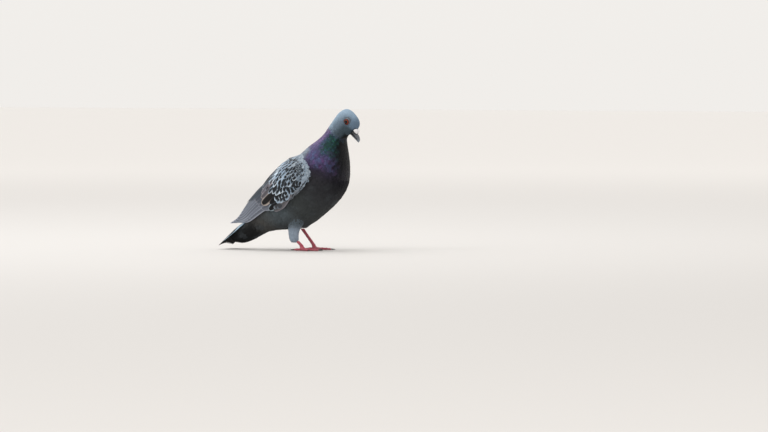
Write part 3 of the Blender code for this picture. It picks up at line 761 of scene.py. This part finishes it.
def chequered(dice, rows, spread, dark_share, bright, ends, widths):
    """Colours of coverts with a dark mark behind a pale rim, on a share of them."""
    number = len(bright)
    pale = hex_rows("#8b9bac", "#8496a8", "#a3b2c1", "#b4c1cd")[dice.integers(0, 4, number)]
    dark = hex_rows("#15181c", "#20252b", "#1a1d22")[dice.integers(0, 3, number)]
    pale = pale * (bright * dice.uniform(0.85, 1.1, number))[:, None]
    middle = upright(dice.uniform(-0.4, 0.4, number))
    wide = upright(dice.uniform(widths[0], widths[1], number))
    start = upright(dice.uniform(0.15, 0.5, number))
    end = upright(dice.uniform(ends[0], ends[1], number))
    along = rows[None, :, None]
    mark = (between(start, start + 0.08, along) * between(end + 0.05, end - 0.03, along)
            * between(wide + 0.12, wide - 0.06, np.abs(spread - middle) + 0.35 * (along - 0.6)))
    mark = mark * upright(dice.random(number) < dark_share)
    shaft = 0.25 * between(0.16, 0.0, np.abs(spread)) * between(0.3, 0.8, along)
    return upright(pale) + upright(dark - pale) * np.maximum(mark, shaft)[..., None]


# The coat's corners off the wings, to find how far a place on a wing is from its edge.
edge_tree = search_of(coat_places, np.flatnonzero(coat_region != "wing"))

# Covert: firmer webs than the body's, still matt, with a faint sheen.
covert_feather = feather_look("chequered_covert", 10, 0.6, 0.0, 0.2, 0.85)
for side_name, side in (("right", -1), ("left", 1)):
    dice = np.random.default_rng(30 + side)
    # Small coverts of the front and lower edge, sown over the coat like the body's.  The ones
    # nearest the bend are the smallest, and the ones nearest the edge follow it round.
    facing = coat_places[coat_faces].mean(1)[:, 1] * side > 0
    roots, slants = scatter(facing & (coat_region[coat_faces[:, 0]] == "wing"),
                            lambda points: np.full(len(points), EDGE_STEP), EDGE_CANDIDATES, 40 + side)
    behind = (roots - np.array(axis_start)) @ np.array(axis_way) / MM
    _, around = place_on_line(roots)
    found = [edge_tree.find(Vector(root)) for root in roots]
    edge = np.array([place for place, *_ in found])
    from_edge = np.array([gap for *_, gap in found]) / MM
    front = (from_edge > 0.8) & (behind < SHIELD_FROM + 3)
    bare = front | (from_edge < np.where(around > 60, 8.5, 2.5)) & (behind < 47)
    roots, slants, edge, behind, around, from_edge = (
        each[bare] for each in (roots, slants, edge, behind, around, from_edge))
    number = len(roots)
    along_edge = np.cross(slants, roots - edge)
    along_edge = along_edge * np.sign(along_edge @ (np.array(axis_way) + EDGE_FALL))[:, None]
    from_edge = np.where((around > 55) | (behind < 16), from_edge, 20.0)
    lies = np.tile(np.array(axis_way) + np.array([0.0, 0.8 * side, 0.0]), (number, 1))
    lies = lies + (unit(along_edge) - lies) * between(7, 3, from_edge)[:, None]
    lies = along_surface(lies, slants)
    step = np.interp(behind, [0, 30], [2.0, 2.3]) * MM
    lengths = step * dice.uniform(*EDGE_LENGTHS, number)
    half = step * dice.uniform(*EDGE_HALVES, number)
    sink = 0.5 + 0.4 * between(0, 6, from_edge)
    stand = sink + dice.uniform(0.05, 0.3, number)
    heights = MM * (-sink[:, None] + stand[:, None] * VANE_ROWS[None] ** 0.8)
    places, _ = body_vanes(roots, slants, lies, lengths, half[:, None], heights)
    rim = between(6.5, 4, from_edge)
    bright = 0.8 * (1 - rim) + 0.95 * rim
    colours = chequered(dice, VANE_ROWS, VANE_SPREAD, (1 - rim) * 0.92, bright, (0.86, 0.95), (0.7, 1.1))
    shoulder = between(14, 8, behind) * between(75, 50, around)
    # Painted shade: the rim's coverts on the wing's lower edge, 16 to 34 mm back from the bend, are painted
    # darker grey.
    lower_rim_shade = rim * between(16, 34, behind) * between(60, 90, around)
    colours = laid_over(colours, ("#b9c5d1", 0.75 * upright(shoulder)), ("#8c9aa9", 0.6 * upright(rim)),
                        ("#67696f", 0.85 * upright(lower_rim_shade)))
    lesser = joined_vanes("wing_" + side_name + "_lesser_coverts", places, colours, VANE_ROWS, VANE_SPREAD,
                          unwrapped(roots, np.full(number, False)), BAKE_PATCH, covert_feather)
    # Rows of larger coverts, each row set half a feather across from the last.
    rooted = []
    for row in range(SHIELD_ROWS):
        way = row / (SHIELD_ROWS - 1)
        back, apart, length = (low + (high - low) * way for low, high in
                               ((SHIELD_FROM, SHIELD_TO), SHIELD_APART, SHIELD_LENGTHS))
        depth = np.interp(back + 0.6 * length, sheet_backs, sheet_widths)
        low = between(22, 12, back) * 4.0 / depth
        high = 0.975 - between(56, 44, back) * 6.0 / depth
        across = int(depth * (high - low) / apart)
        for place in range(across + 1):
            share = (place + 0.5 * (row % 2) + dice.uniform(-0.15, 0.15)) / (across + 0.5)
            share = low + (high - low) * share
            short = 9.0 * way * (between(0.46, 0.62, share) - between(0.84, 0.95, share))
            rooted.append((back + dice.uniform(-0.8, 0.8) - short, share, length * dice.uniform(0.95, 1.06),
                           apart * dice.uniform(0.56, 0.68)))
    backs, shares, lengths, halves = np.array(rooted).T
    drifts = lengths * 0.30 * between(1.0, 0.72, shares) * between(-0.1, 0.15, shares) / 62
    drifts = drifts + dice.normal(0, 0.01, len(backs))
    places = wing_vanes(side, backs, shares, lengths, halves, drifts, SHIELD_LIFTS, FINE_ROWS, FINE_SPREAD)
    marked = np.where(backs > SHIELD_FROM + 2, 1.0, 0.85)
    bright = np.interp(backs, [12, 34], [0.68, 1.35])
    wide = np.interp(shares, [0.2, 0.5, 0.75], [0.24, 0.36, 0.66]) + 0.2 * between(30, 15, backs)
    colours = chequered(dice, FINE_ROWS, FINE_SPREAD, marked, bright, (0.85, 0.95), (wide, wide + 0.4))
    # Painted shade: the shield's lowest coverts, 30 to 56 mm back from the bend, are laid over with darker
    # grey.
    lower_shield_shade = between(0.80, 0.95, shares) * between(30, 56, backs)
    colours = laid_over(colours, ("#43454b", 0.7 * upright(lower_shield_shade)))
    spots = np.stack([0.03 + 0.94 * backs / SHEET_TO, 0.03 + 0.94 * np.clip(shares, 0, 1)], 1)
    shield = joined_vanes("wing_" + side_name + "_shield", places, colours, FINE_ROWS, FINE_SPREAD, spots,
                          BAKE_PATCH, covert_feather)
    for piece in (lesser, shield):
        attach(piece, "root")

# ------------------------------------------------------------------------------ flight feathers
# Long stiff feathers that close like a fan: the inner ones lie on the back and cover the outer,
# whose tips run one behind another to the tip of the wing.  Each has a shaft and two vanes.
LONG_ROWS = np.concatenate([np.linspace(0.0, 0.8, 13), [0.86, 0.91, 0.95, 0.98, 1.0]])
LONG_SPREAD = np.array([-1.0, -0.9, -0.6, -0.3, -0.07, 0.0, 0.07, 0.3, 0.6, 0.9, 1.0])
LONG_HOLLOW = 0.05
ROOT_DROP = 0.4                  # how far a root lies below its tip
VANE_THICKNESS = 0.22

# Flight feather: close, stiff barbs, so its lines are fine and it looks smooth and dry.
flight_feather = feather_look("stiff_flight_feather", 60, 0.6, 0.0, 0.14, 0.95)


def edged(bodies, edges, edge_width):
    """Colours of long feathers: a body colour for each, a pale edge and a darker shaft."""
    outer = np.maximum(np.abs(LONG_SPREAD), LONG_ROWS[:, None] ** 6)
    rim = between(1 - edge_width, 1 - 0.3 * edge_width, outer)[..., None]
    shaft = between(0.12, 0.02, np.abs(LONG_SPREAD))[:, None]
    return (upright(bodies) + upright(edges - bodies) * rim) * (1 - 0.45 * shaft)


def stiff_vanes(name, places, colours, thickness):
    """Joins long vanes into one piece, solid through, each in its own column of the map."""
    number = len(places)
    cells = np.stack([(np.arange(number) + 0.5) / number, np.full(number, 0.5)], 1)
    made = joined_vanes(name, places, colours, LONG_ROWS, LONG_SPREAD, cells, np.array([0.9 / number, 0.94]),
                        flight_feather)
    solid = made.modifiers.new("Solidify", "SOLIDIFY")
    solid.thickness = thickness * MM
    solid.offset = -1.0
    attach(made, "root")
    return made


def long_feathers(name, side, tips, shares, lengths, halves, lifts, colours, slant=0.0):
    """One group of long feathers of a wing."""
    lifts = upright(lifts)
    places = wing_vanes(side, tips - lengths, shares - slant, lengths, halves, np.full(len(tips), slant),
                        (lifts - ROOT_DROP, lifts), LONG_ROWS, LONG_SPREAD, LONG_HOLLOW)
    made = stiff_vanes(name, places, colours, VANE_THICKNESS)
    return made


# The last row of coverts: tip, share of the depth, length, half width, then body and edge colours.
GREATER_COVERTS = (
    (92, 0.06, 34, 6.0, "#20252b", "#4d5762"), (91, 0.15, 34, 6.0, "#1b2026", "#7f8c9a"),
    (90, 0.25, 33, 5.6, "#20252b", "#9aa7b4"), (90, 0.36, 33, 5.6, "#3c444d", "#8e96a0"),
    (93, 0.48, 32, 5.8, "#63626a", "#9b949a"), (96, 0.60, 34, 6.0, "#56545a", "#a59d9c"),
    (99, 0.76, 36, 7.0, "#171618", "#b9aea6"), (85, 0.84, 30, 5.0, "#121317", "#4a5058"),
    (92, 0.94, 32, 4.8, "#111216", "#9fafba"), (84, 1.0, 40, 4.5, "#605e62", "#85828a"))

for side_name, side in (("right", -1), ("left", 1)):
    prefix = "wing_" + side_name + "_"
    dice = np.random.default_rng(60 + side)
    order = np.arange(9) / 8
    bodies = hex_rows("#4a505a", "#585e69", "#636974", *["#6a707c"] * 6)
    bodies = bodies * dice.uniform(0.85, 1.12, 9)[:, None]
    primaries = long_feathers(
        prefix + "primary_feathers", side, 128 + 45 * order ** 0.85, 0.18 + 0.68 * order,
        70 + 20 * order, 6.5 - 0.8 * order, -0.3 - 1.4 * order, edged(bodies, hex_rows("#a3a9b6"), 0.24))
    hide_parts(prefix + "primaries")
    order = np.arange(6) / 5
    bodies = hex_rows("#3b444d", "#414953", "#4a4f59", "#555a64", "#60656f", "#666b76")
    edges = hex_rows("#5c6671", "#777b84", "#878a93", "#9093a0", "#979ba8", "#979ba8")
    secondaries = long_feathers(
        prefix + "secondary_feathers", side, 114 - 10 * order, 0.36 + 0.5 * order,
        48 - 4 * order, 8.0 - 1.5 * order, 0.1 - 0.5 * order, edged(bodies, edges, 0.18))
    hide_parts(prefix + "secondaries")
    order = np.arange(4) / 3
    bodies = hex_rows("#3d454e", "#3b434c", "#373f48", "#333b44")
    long_feathers(
        prefix + "tertial_feathers", side, 132 - 12 * order, 0.07 + 0.26 * order,
        56 - 6 * order, 8.0 + 0.5 * order, 0.6 - 0.4 * order, edged(bodies, hex_rows("#59636e"), 0.14))
    *sizes, bodies, edges = zip(*GREATER_COVERTS)
    tips, shares, lengths, halves = np.array(sizes, dtype=float)
    long_feathers(prefix + "greater_coverts", side, tips, shares, lengths, halves,
                  np.linspace(0.75, 0.35, len(tips)), edged(hex_rows(*bodies), hex_rows(*edges), 0.26), 0.07)

# ------------------------------------------------------------------------------ tail
# Twelve stiff feathers lie over each other as a shallow roof, the middle pair on top.  They are
# grey under the coverts and black behind, and the outermost pair has a pale outer web.
TAIL_ROOT = (-68.67, 45.4)       # along and up, where the middle pair starts
TAIL_SLOPE = math.radians(35)
TAIL_LENGTH = 54.45
TAIL_HALF = (12.0, 27.0)         # half the tail's width at its root and at its end
TAIL_ROOF = 8.5                  # how far the outer feathers lie below the middle ones
TAIL_ARCH = 12.8                 # four times how far the middle ones bow upward half way along
TAIL_DROOP = 6.0                 # how far their tips bend down
TAIL_ROUND = 1.0                 # how much shorter the outer feathers are
TAIL_PAIRS = 6
TAIL_HIDDEN = 8.0                # how far under the coverts the vanes start
TAIL_VANE = 8.2                  # half a feather's width before the outer ones narrow
TAIL_OVERLAP = 0.55
TAIL_THICKNESS = 0.3


def on_tail(run, share, lift):
    """A place on the tail: its run from the root, its share of the half width, its lift."""
    spread = run / TAIL_LENGTH
    half = TAIL_HALF[0] + (TAIL_HALF[1] - TAIL_HALF[0]) * np.clip(spread, 0, 1.2) ** 1.2
    x = TAIL_ROOT[0] - run * math.cos(TAIL_SLOPE) - lift * math.sin(TAIL_SLOPE)
    bow = TAIL_ARCH * spread * (1 - spread) - TAIL_DROOP * spread ** 3
    z = (TAIL_ROOT[1] - run * math.sin(TAIL_SLOPE) - TAIL_ROOF * share ** 2 * spread
         + lift * math.cos(TAIL_SLOPE) + bow * (1 - np.clip(share ** 2, 0, 1)))
    return np.stack([x, half * share, z], -1) * MM


pairs = np.repeat(np.arange(TAIL_PAIRS), 2)
sides = np.tile([-1.0, 1.0], TAIL_PAIRS)
shares = sides * (pairs + 0.5) / TAIL_PAIRS * 0.88
ends = TAIL_LENGTH - TAIL_ROUND * np.abs(shares) ** 4
along = LONG_ROWS[None, :, None]
run = TAIL_HIDDEN + upright(ends - TAIL_HIDDEN) * along
tail_half = TAIL_HALF[0] + (TAIL_HALF[1] - TAIL_HALF[0]) * run / TAIL_LENGTH
half = TAIL_VANE * vane_outline(LONG_ROWS, root=0.8, tip=0.16)[None, :, None]
reach = upright(shares) + LONG_SPREAD * half / tail_half * TAIL_OVERLAP
lift = -0.28 * upright(pairs) - 0.25 * np.abs(LONG_SPREAD) ** 2 + 0.12 * (np.abs(LONG_SPREAD) < 0.05)
run, reach, lift = np.broadcast_arrays(run, reach, lift)
web_starts = np.interp(along, [0.3, 0.45], [0.1, 0.62])
outer_web = between(web_starts, web_starts + 0.25, upright(sides) * LONG_SPREAD)
outer_web = outer_web * upright(pairs == TAIL_PAIRS - 1) * between(0.84, 0.72, along)
colours = laid_over(hex_rows("#8fa3b3"), ("#141518", between(0.30, 0.38, along)), ("#9ab2c3", outer_web))
tail_dice = np.random.default_rng(80)
colours = colours * upright(tail_dice.uniform(0.85, 1.15, len(pairs)))[..., None]
tail = stiff_vanes("tail_feathers", on_tail(run, reach, lift), colours, TAIL_THICKNESS)
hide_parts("tail")

# ------------------------------------------------------------------------------ eyes and lids
# A wet, bulging eye with an orange-red iris.  A bare grey lid in fine folds rims it and meets the
# feathers of the face.
EYE_RADIUS = 5.5
PUPIL_EDGE, IRIS_EDGE, LID_EDGE = 30.0, 53.0, 51.0     # degrees from the eye's axis
EYE_RINGS = np.concatenate([[0.3], np.arange(2, 72, 2), np.arange(76, 180, 8), [179.5]])
EYE_FORWARD = 0.16               # how much the eyes look ahead
LID_WIDTH = 6.5                  # from the eye's axis to the lid's outer edge
LID_GAP = 0.12                   # between the lip and the eyeball
LID_STEPS = 12
AROUND = 48

eye_places = {side_name: Vector(centre_of("eye_" + side_name)) for side_name in ("right", "left")}
head_side = (eye_places["right"] - eye_places["left"]).normalized()
bill_tip = min((corner.co for corner in nodes["bill_upper"].data.vertices), key=lambda place: place.z)
head_ahead = bill_tip - (eye_places["right"] + eye_places["left"]) / 2
head_ahead = (head_ahead - head_side * head_ahead.dot(head_side)).normalized()
head_up = head_side.cross(head_ahead)

# Cornea over a pigmented iris: as glossy as water.
eye_look, eye_tree = new_material("wet_eye")
surface(eye_tree, {"Base Color": add(eye_tree, "Attribute", attribute_name="markings"), "Roughness": 0.08,
                   "IOR": 1.376, "Specular IOR Level": 0.4})


def skin_look_of(name, grain_mm, depth, roughness, low, high):
    """Bare skin or horn: the piece's own colours under a fine grain that also dents the surface."""
    made, tree = new_material(name)
    grain = add(tree, "TexNoise", {"Scale": 1000 / grain_mm, "Detail": 5.0,
                                   "Vector": add(tree, "TexCoord").outputs["Object"]})
    shade = add(tree, "MapRange", {"Value": grain, "From Min": 0.3, "From Max": 0.7, "To Min": low,
                                   "To Max": high})
    bump = add(tree, "Bump", {"Strength": 0.5, "Distance": depth * MM, "Height": grain})
    marked_surface(tree, shade, {"Roughness": roughness, "Normal": bump})
    return made


# Bare lid skin: dry and finely creased.
lid_skin = skin_look_of("bare_lid_skin", 0.5, 0.08, 0.6, 0.8, 1.1)


def keep_rings(name, places, look, colours, side):
    """A piece made of closed rings of corners (rings, corners, 3)."""
    corner = np.arange(places.shape[0] * AROUND).reshape(-1, AROUND)
    after = np.roll(corner, -1, axis=1)
    faces = np.stack([corner[:-1], after[:-1], after[1:], corner[1:]], -1).reshape(-1, 4)
    return keep_mesh(name, places, faces[:, ::side], look, colours)


for side_name, side in (("right", 1), ("left", -1)):
    middle = np.array(eye_places[side_name])
    axis = np.array((head_side * side + head_ahead * EYE_FORWARD).normalized())
    over = unit(np.array(head_up) - axis * (np.array(head_up) @ axis))
    ahead = np.cross(over, axis)
    spins = np.arange(AROUND) / AROUND * 2 * math.pi
    spokes = np.cos(spins)[:, None] * ahead + np.sin(spins)[:, None] * over
    # the eyeball, in rings about its axis
    angles = np.radians(EYE_RINGS)[:, None, None]
    places = middle + MM * EYE_RADIUS * (np.cos(angles) * axis + np.sin(angles) * spokes)
    degrees = np.degrees(angles)[:, 0, 0]
    iris = laid_over(hex_rows("#933613"), ("#54180b", between(PUPIL_EDGE + 2, IRIS_EDGE - 10, degrees)))
    black = hex_rows("#040303")
    colours = black + (iris - black) * between(PUPIL_EDGE - 1, PUPIL_EDGE + 1, degrees)[:, None]
    colours = laid_over(colours, ("#1d100d", between(IRIS_EDGE - 5, IRIS_EDGE, degrees)))
    rays = 1 + 0.10 * np.sin(spins * 17 + 1.3) * np.sin(spins * 7)
    eye = keep_rings("eyeball_" + side_name, places, eye_look, colours[:, None] * rays[:, None], side)
    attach(eye, "root")
    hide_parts("eye_" + side_name)
    # the lid, from a lip on the eyeball out to the feathers
    lid_angle = math.radians(LID_EDGE)
    lid_ways = math.cos(lid_angle) * axis + math.sin(lid_angle) * spokes
    inner_rim = middle + MM * (EYE_RADIUS + LID_GAP) * lid_ways
    outer_rim = []
    for spoke in spokes:
        start = Vector(middle + spoke * LID_WIDTH * MM + axis * 0.02)
        outer_rim.append(tuple(coat_tree.ray_cast(start, -Vector(axis), 0.04)[0]))
    outer_rim = np.array(outer_rim) - axis * 0.5 * MM
    share = np.linspace(0, 1, LID_STEPS)[:, None, None]
    folds = 0.10 * np.sin(share * 5 * math.pi + 0.4 * np.sin(spins * 9)[:, None]) * (1 - share)
    pleats = 0.05 * np.sin(spins * 26)[:, None] * np.sin(share * math.pi)
    lip = 0.42 * np.sin(np.minimum(share * 3.2, 1) * math.pi) + folds + pleats
    lip = lip + 0.25 * np.sin(share * math.pi)
    places = inner_rim + (outer_rim - inner_rim) * share + axis * lip * MM
    colours = laid_over(hex_rows("#5b626b") + 0 * places, ("#3f464f", between(0.25, 0.9, share[..., 0])))
    lid = keep_rings("eyelid_" + side_name, places, lid_skin, colours, side)
    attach(lid, "root")

# ------------------------------------------------------------------------------ bill and cere
# A slim horn bill, dark at the gape and greyer to its hooked tip.  A soft, powdery white cere in
# two lobes sits over its root, and a slit of a nostril opens under the front of each lobe.
HORN_VOXEL = 0.00032
CERE_ROUNDS, BILL_ROUNDS = 4, 3
CERE_BACK, BILL_BACK = 0.0003, 0.00034   # how far each copy is taken back inside its node
NOSTRIL_DEPTH, MOUTH_DEPTH = 0.35, 0.12


def gap_to(tree, places):
    """Millimetres from each place to a surface."""
    return np.array([tree.find_nearest(Vector(place))[3] for place in places]) / MM


# Horn of the bill: smooth and softly shiny.  The cere's skin is matt under its powder.
horn = skin_look_of("bill_horn", 0.5, 0.03, 0.38, 0.86, 1.1)
powder = skin_look_of("powdery_cere_skin", 0.35, 0.12, 0.85, 0.88, 1.04)
cere_middle = np.array(centre_of("cere"))
bill_side = np.array(head_side)
bill_way = unit(np.array(bill_tip) - cere_middle)
bill_over = np.cross(bill_side, bill_way)
bill_over = bill_over * np.sign(bill_over[0])
cere_places, cere_normals, cere_faces, _ = drawn_together(("cere",), HORN_VOXEL, CERE_ROUNDS, CERE_BACK)
across = (cere_places - cere_middle) @ bill_side / MM
facing = between(-0.2, 0.5, cere_normals @ bill_over)
lobes = 0.25 * facing - 0.75 * np.exp(-(across / 0.5) ** 2) * facing
cere_places += cere_normals * lobes[:, None] * MM
cere_tree = tree_of(cere_places, cere_faces)
bills = {}
for name in ("bill_upper", "bill_lower"):
    places, normals, faces, _ = drawn_together((name,), HORN_VOXEL, BILL_ROUNDS, BILL_BACK)
    bills[name] = places, normals, faces, tree_of(places, faces)
# The cere is painted grey where it meets the bill and dark along the groove between its lobes: painted shade
# under its edge and in the crease.
cere = keep_mesh("cere_lobes", cere_places, cere_faces, powder, laid_over(
    hex_rows("#e9e8ea"), ("#95949a", between(0.9, 0.3, gap_to(bills["bill_upper"][3], cere_places))),
    ("#3a383c", 0.6 * np.exp(-(across / 0.28) ** 2) * facing)))
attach(cere, "root")
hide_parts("cere")
for name, other in (("bill_upper", "bill_lower"), ("bill_lower", "bill_upper")):
    places, normals, faces, _ = bills[name]
    ahead = (places - cere_middle) @ bill_way
    run = (ahead - ahead.min()) / (ahead.max() - ahead.min())
    across = (places - cere_middle) @ bill_side / MM
    # The line where the two halves meet and the nostril slits are sunk a little and painted near black:
    # painted shade in the recesses.
    mouth = between(0.75, 0.35, gap_to(bills[other][3], places))
    nostril = (between(1.1, 0.5, gap_to(cere_tree, places)) * between(0.8, 1.6, np.abs(across))
               * between(-1.5, 0.0, ahead / MM))
    colours = laid_over(hex_rows("#38393d"), ("#5d6168", between(0.15, 0.6, run)),
                        ("#7a858f", between(0.65, 0.95, run)), ("#1d1b1c", mouth), ("#141213", nostril))
    sunk = (NOSTRIL_DEPTH * nostril + MOUTH_DEPTH * mouth)[:, None] * MM
    piece = keep_mesh(name + "_horn", places - normals * sunk, faces, horn, colours)
    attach(piece, "root")
    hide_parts(name)

# ------------------------------------------------------------------------------ legs and feet
# Bare legs in coral-red skin.  Broad overlapping scutes run down the front of the shank and along
# the top of each toe, and small round scales and soft pads cover the rest.
LEG_VOXEL, CLAW_VOXEL = 0.00036, 0.00022
LEG_ROUNDS, CLAW_ROUNDS = 5, 2
LEG_BACK, CLAW_BACK = 0.0004, 0.00036    # how far each copy is taken back inside its node
SCUTE_SHANK, SCUTE_TOE = 2.2, 1.6        # length of one plate
SCUTE_RISE = 0.26                # how far a plate's end stands over the next one
PAD_RISE, PAD_LENGTH = 0.16, 6.5
SCALE_WIDTH = 0.75               # of the small round scales
CLAW_ROOT = 0.9                  # how far a claw's root runs into the toe
SHANK_REACH, CLAW_REACH = 0.0025, 0.0006     # which corners make up the end of a bone
TOE_HEIGHT = 0.0035              # of the toes' common start over the floor
TOES = ("inner", "middle", "outer", "hind")


def corners_near(name, point, reach):
    """The middle of a node's corners that lie nearest a point."""
    corners = np.array([corner.co for corner in nodes[name].data.vertices])
    gaps = np.linalg.norm(corners - point, axis=1)
    return corners[gaps < gaps.min() + reach].mean(0)


# Scaled skin: soft, a little translucent, and lined between its small scales.
leg_skin, leg_tree = new_material("scaled_leg_skin")
leg_cells = add(leg_tree, "TexVoronoi", {"Scale": 1000 / SCALE_WIDTH,
                                         "Vector": add(leg_tree, "TexCoord").outputs["Object"]},
                feature="DISTANCE_TO_EDGE")
leg_shade = add(leg_tree, "MapRange", {"Value": leg_cells, "From Max": 0.18, "To Min": 0.84, "To Max": 1.03})
leg_bump = add(leg_tree, "Bump", {"Strength": 0.35, "Distance": 0.1 * MM, "Height": leg_shade})
marked_surface(leg_tree, leg_shade, {"Roughness": 0.5, "Subsurface Weight": 0.15,
                                     "Subsurface Radius": (MM, 0.4 * MM, 0.3 * MM), "Normal": leg_bump})

# Horn of the claws: darker than the bill's, and a little glossier.
claw_horn = skin_look_of("claw_horn", 0.6, 0.03, 0.35, 0.8, 1.15)
for side_name in ("right", "left"):
    shank, foot = "shank_" + side_name, "foot_" + side_name
    places, normals, faces, _ = drawn_together((shank, foot), LEG_VOXEL, LEG_ROUNDS, LEG_BACK)
    middle = centre_of(shank)
    top = corners_near(shank, middle + np.array([-0.05, 0, 0.2]), SHANK_REACH)
    hub = corners_near(shank, middle + np.array([0.05, 0, -0.2]), SHANK_REACH)
    low_hub = np.array([hub[0], hub[1], TOE_HEIGHT])
    bones = [(top, hub, SCUTE_SHANK, np.array([1.0, 0.0, 0.3]))]
    for toe in TOES:
        end = corners_near("claw_" + side_name + "_" + toe, low_hub, CLAW_REACH)
        bones.append((low_hub, end, SCUTE_TOE, np.array([0.0, 0.0, 1.0])))
    gaps, runs, tops, plates = [], [], [], []
    for start, end, plate, over in bones:
        way = end - start
        length = np.linalg.norm(way)
        run = np.clip((places - start) @ way / length ** 2, 0, 1)
        gaps.append(np.linalg.norm(places - start - run[:, None] * way, axis=1))
        runs.append(run * length / MM)
        over = unit(over - way * (over @ way) / length ** 2)
        tops.append(normals @ over)
        plates.append(plate)
    nearest = np.argmin(gaps, axis=0)
    rows = np.arange(len(places))
    run, facing = np.array(runs)[nearest, rows], np.array(tops)[nearest, rows]
    part = (run / np.array(plates)[nearest]) % 1.0
    plated = between(0.05, 0.35, facing)
    rise = SCUTE_RISE * (part ** 0.7 - 0.5) * plated
    rise = rise + PAD_RISE * np.cos(run * 2 * math.pi / PAD_LENGTH) * (nearest > 0)
    places = places + normals * rise[:, None] * MM
    places[:, 2] = np.maximum(places[:, 2], 0.0)
    edge = np.maximum(between(0.12, 0.0, part), between(0.9, 1.0, part)) * plated
    colours = laid_over(hex_rows("#a8505c"), ("#b4495c", plated), ("#dba1a6", 0.6 * edge))
    colours = colours * (1 + 0.10 * waves(places, 3.0, 91))[:, None]
    leg = keep_mesh("leg_" + side_name, places, faces, leg_skin, colours)
    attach(leg, "root")
    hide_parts(shank, foot)
    for toe in TOES:
        claw = "claw_" + side_name + "_" + toe
        places, _, faces, _ = drawn_together((claw,), CLAW_VOXEL, CLAW_ROUNDS, CLAW_BACK)
        places[:, 2] = np.maximum(places[:, 2], 0.0)
        away = np.linalg.norm(places - low_hub, axis=1)
        away = (away - away.min()) / (away.max() - away.min())
        inward = unit(low_hub - places.mean(0))
        places = places + inward * CLAW_ROOT * MM * between(0.25, 0.0, away)[:, None]
        colours = laid_over(hex_rows("#3a3433"), ("#191718", away))
        made = keep_mesh(claw + "_horn", places, faces, claw_horn, colours)
        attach(made, "root")
        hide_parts(claw)
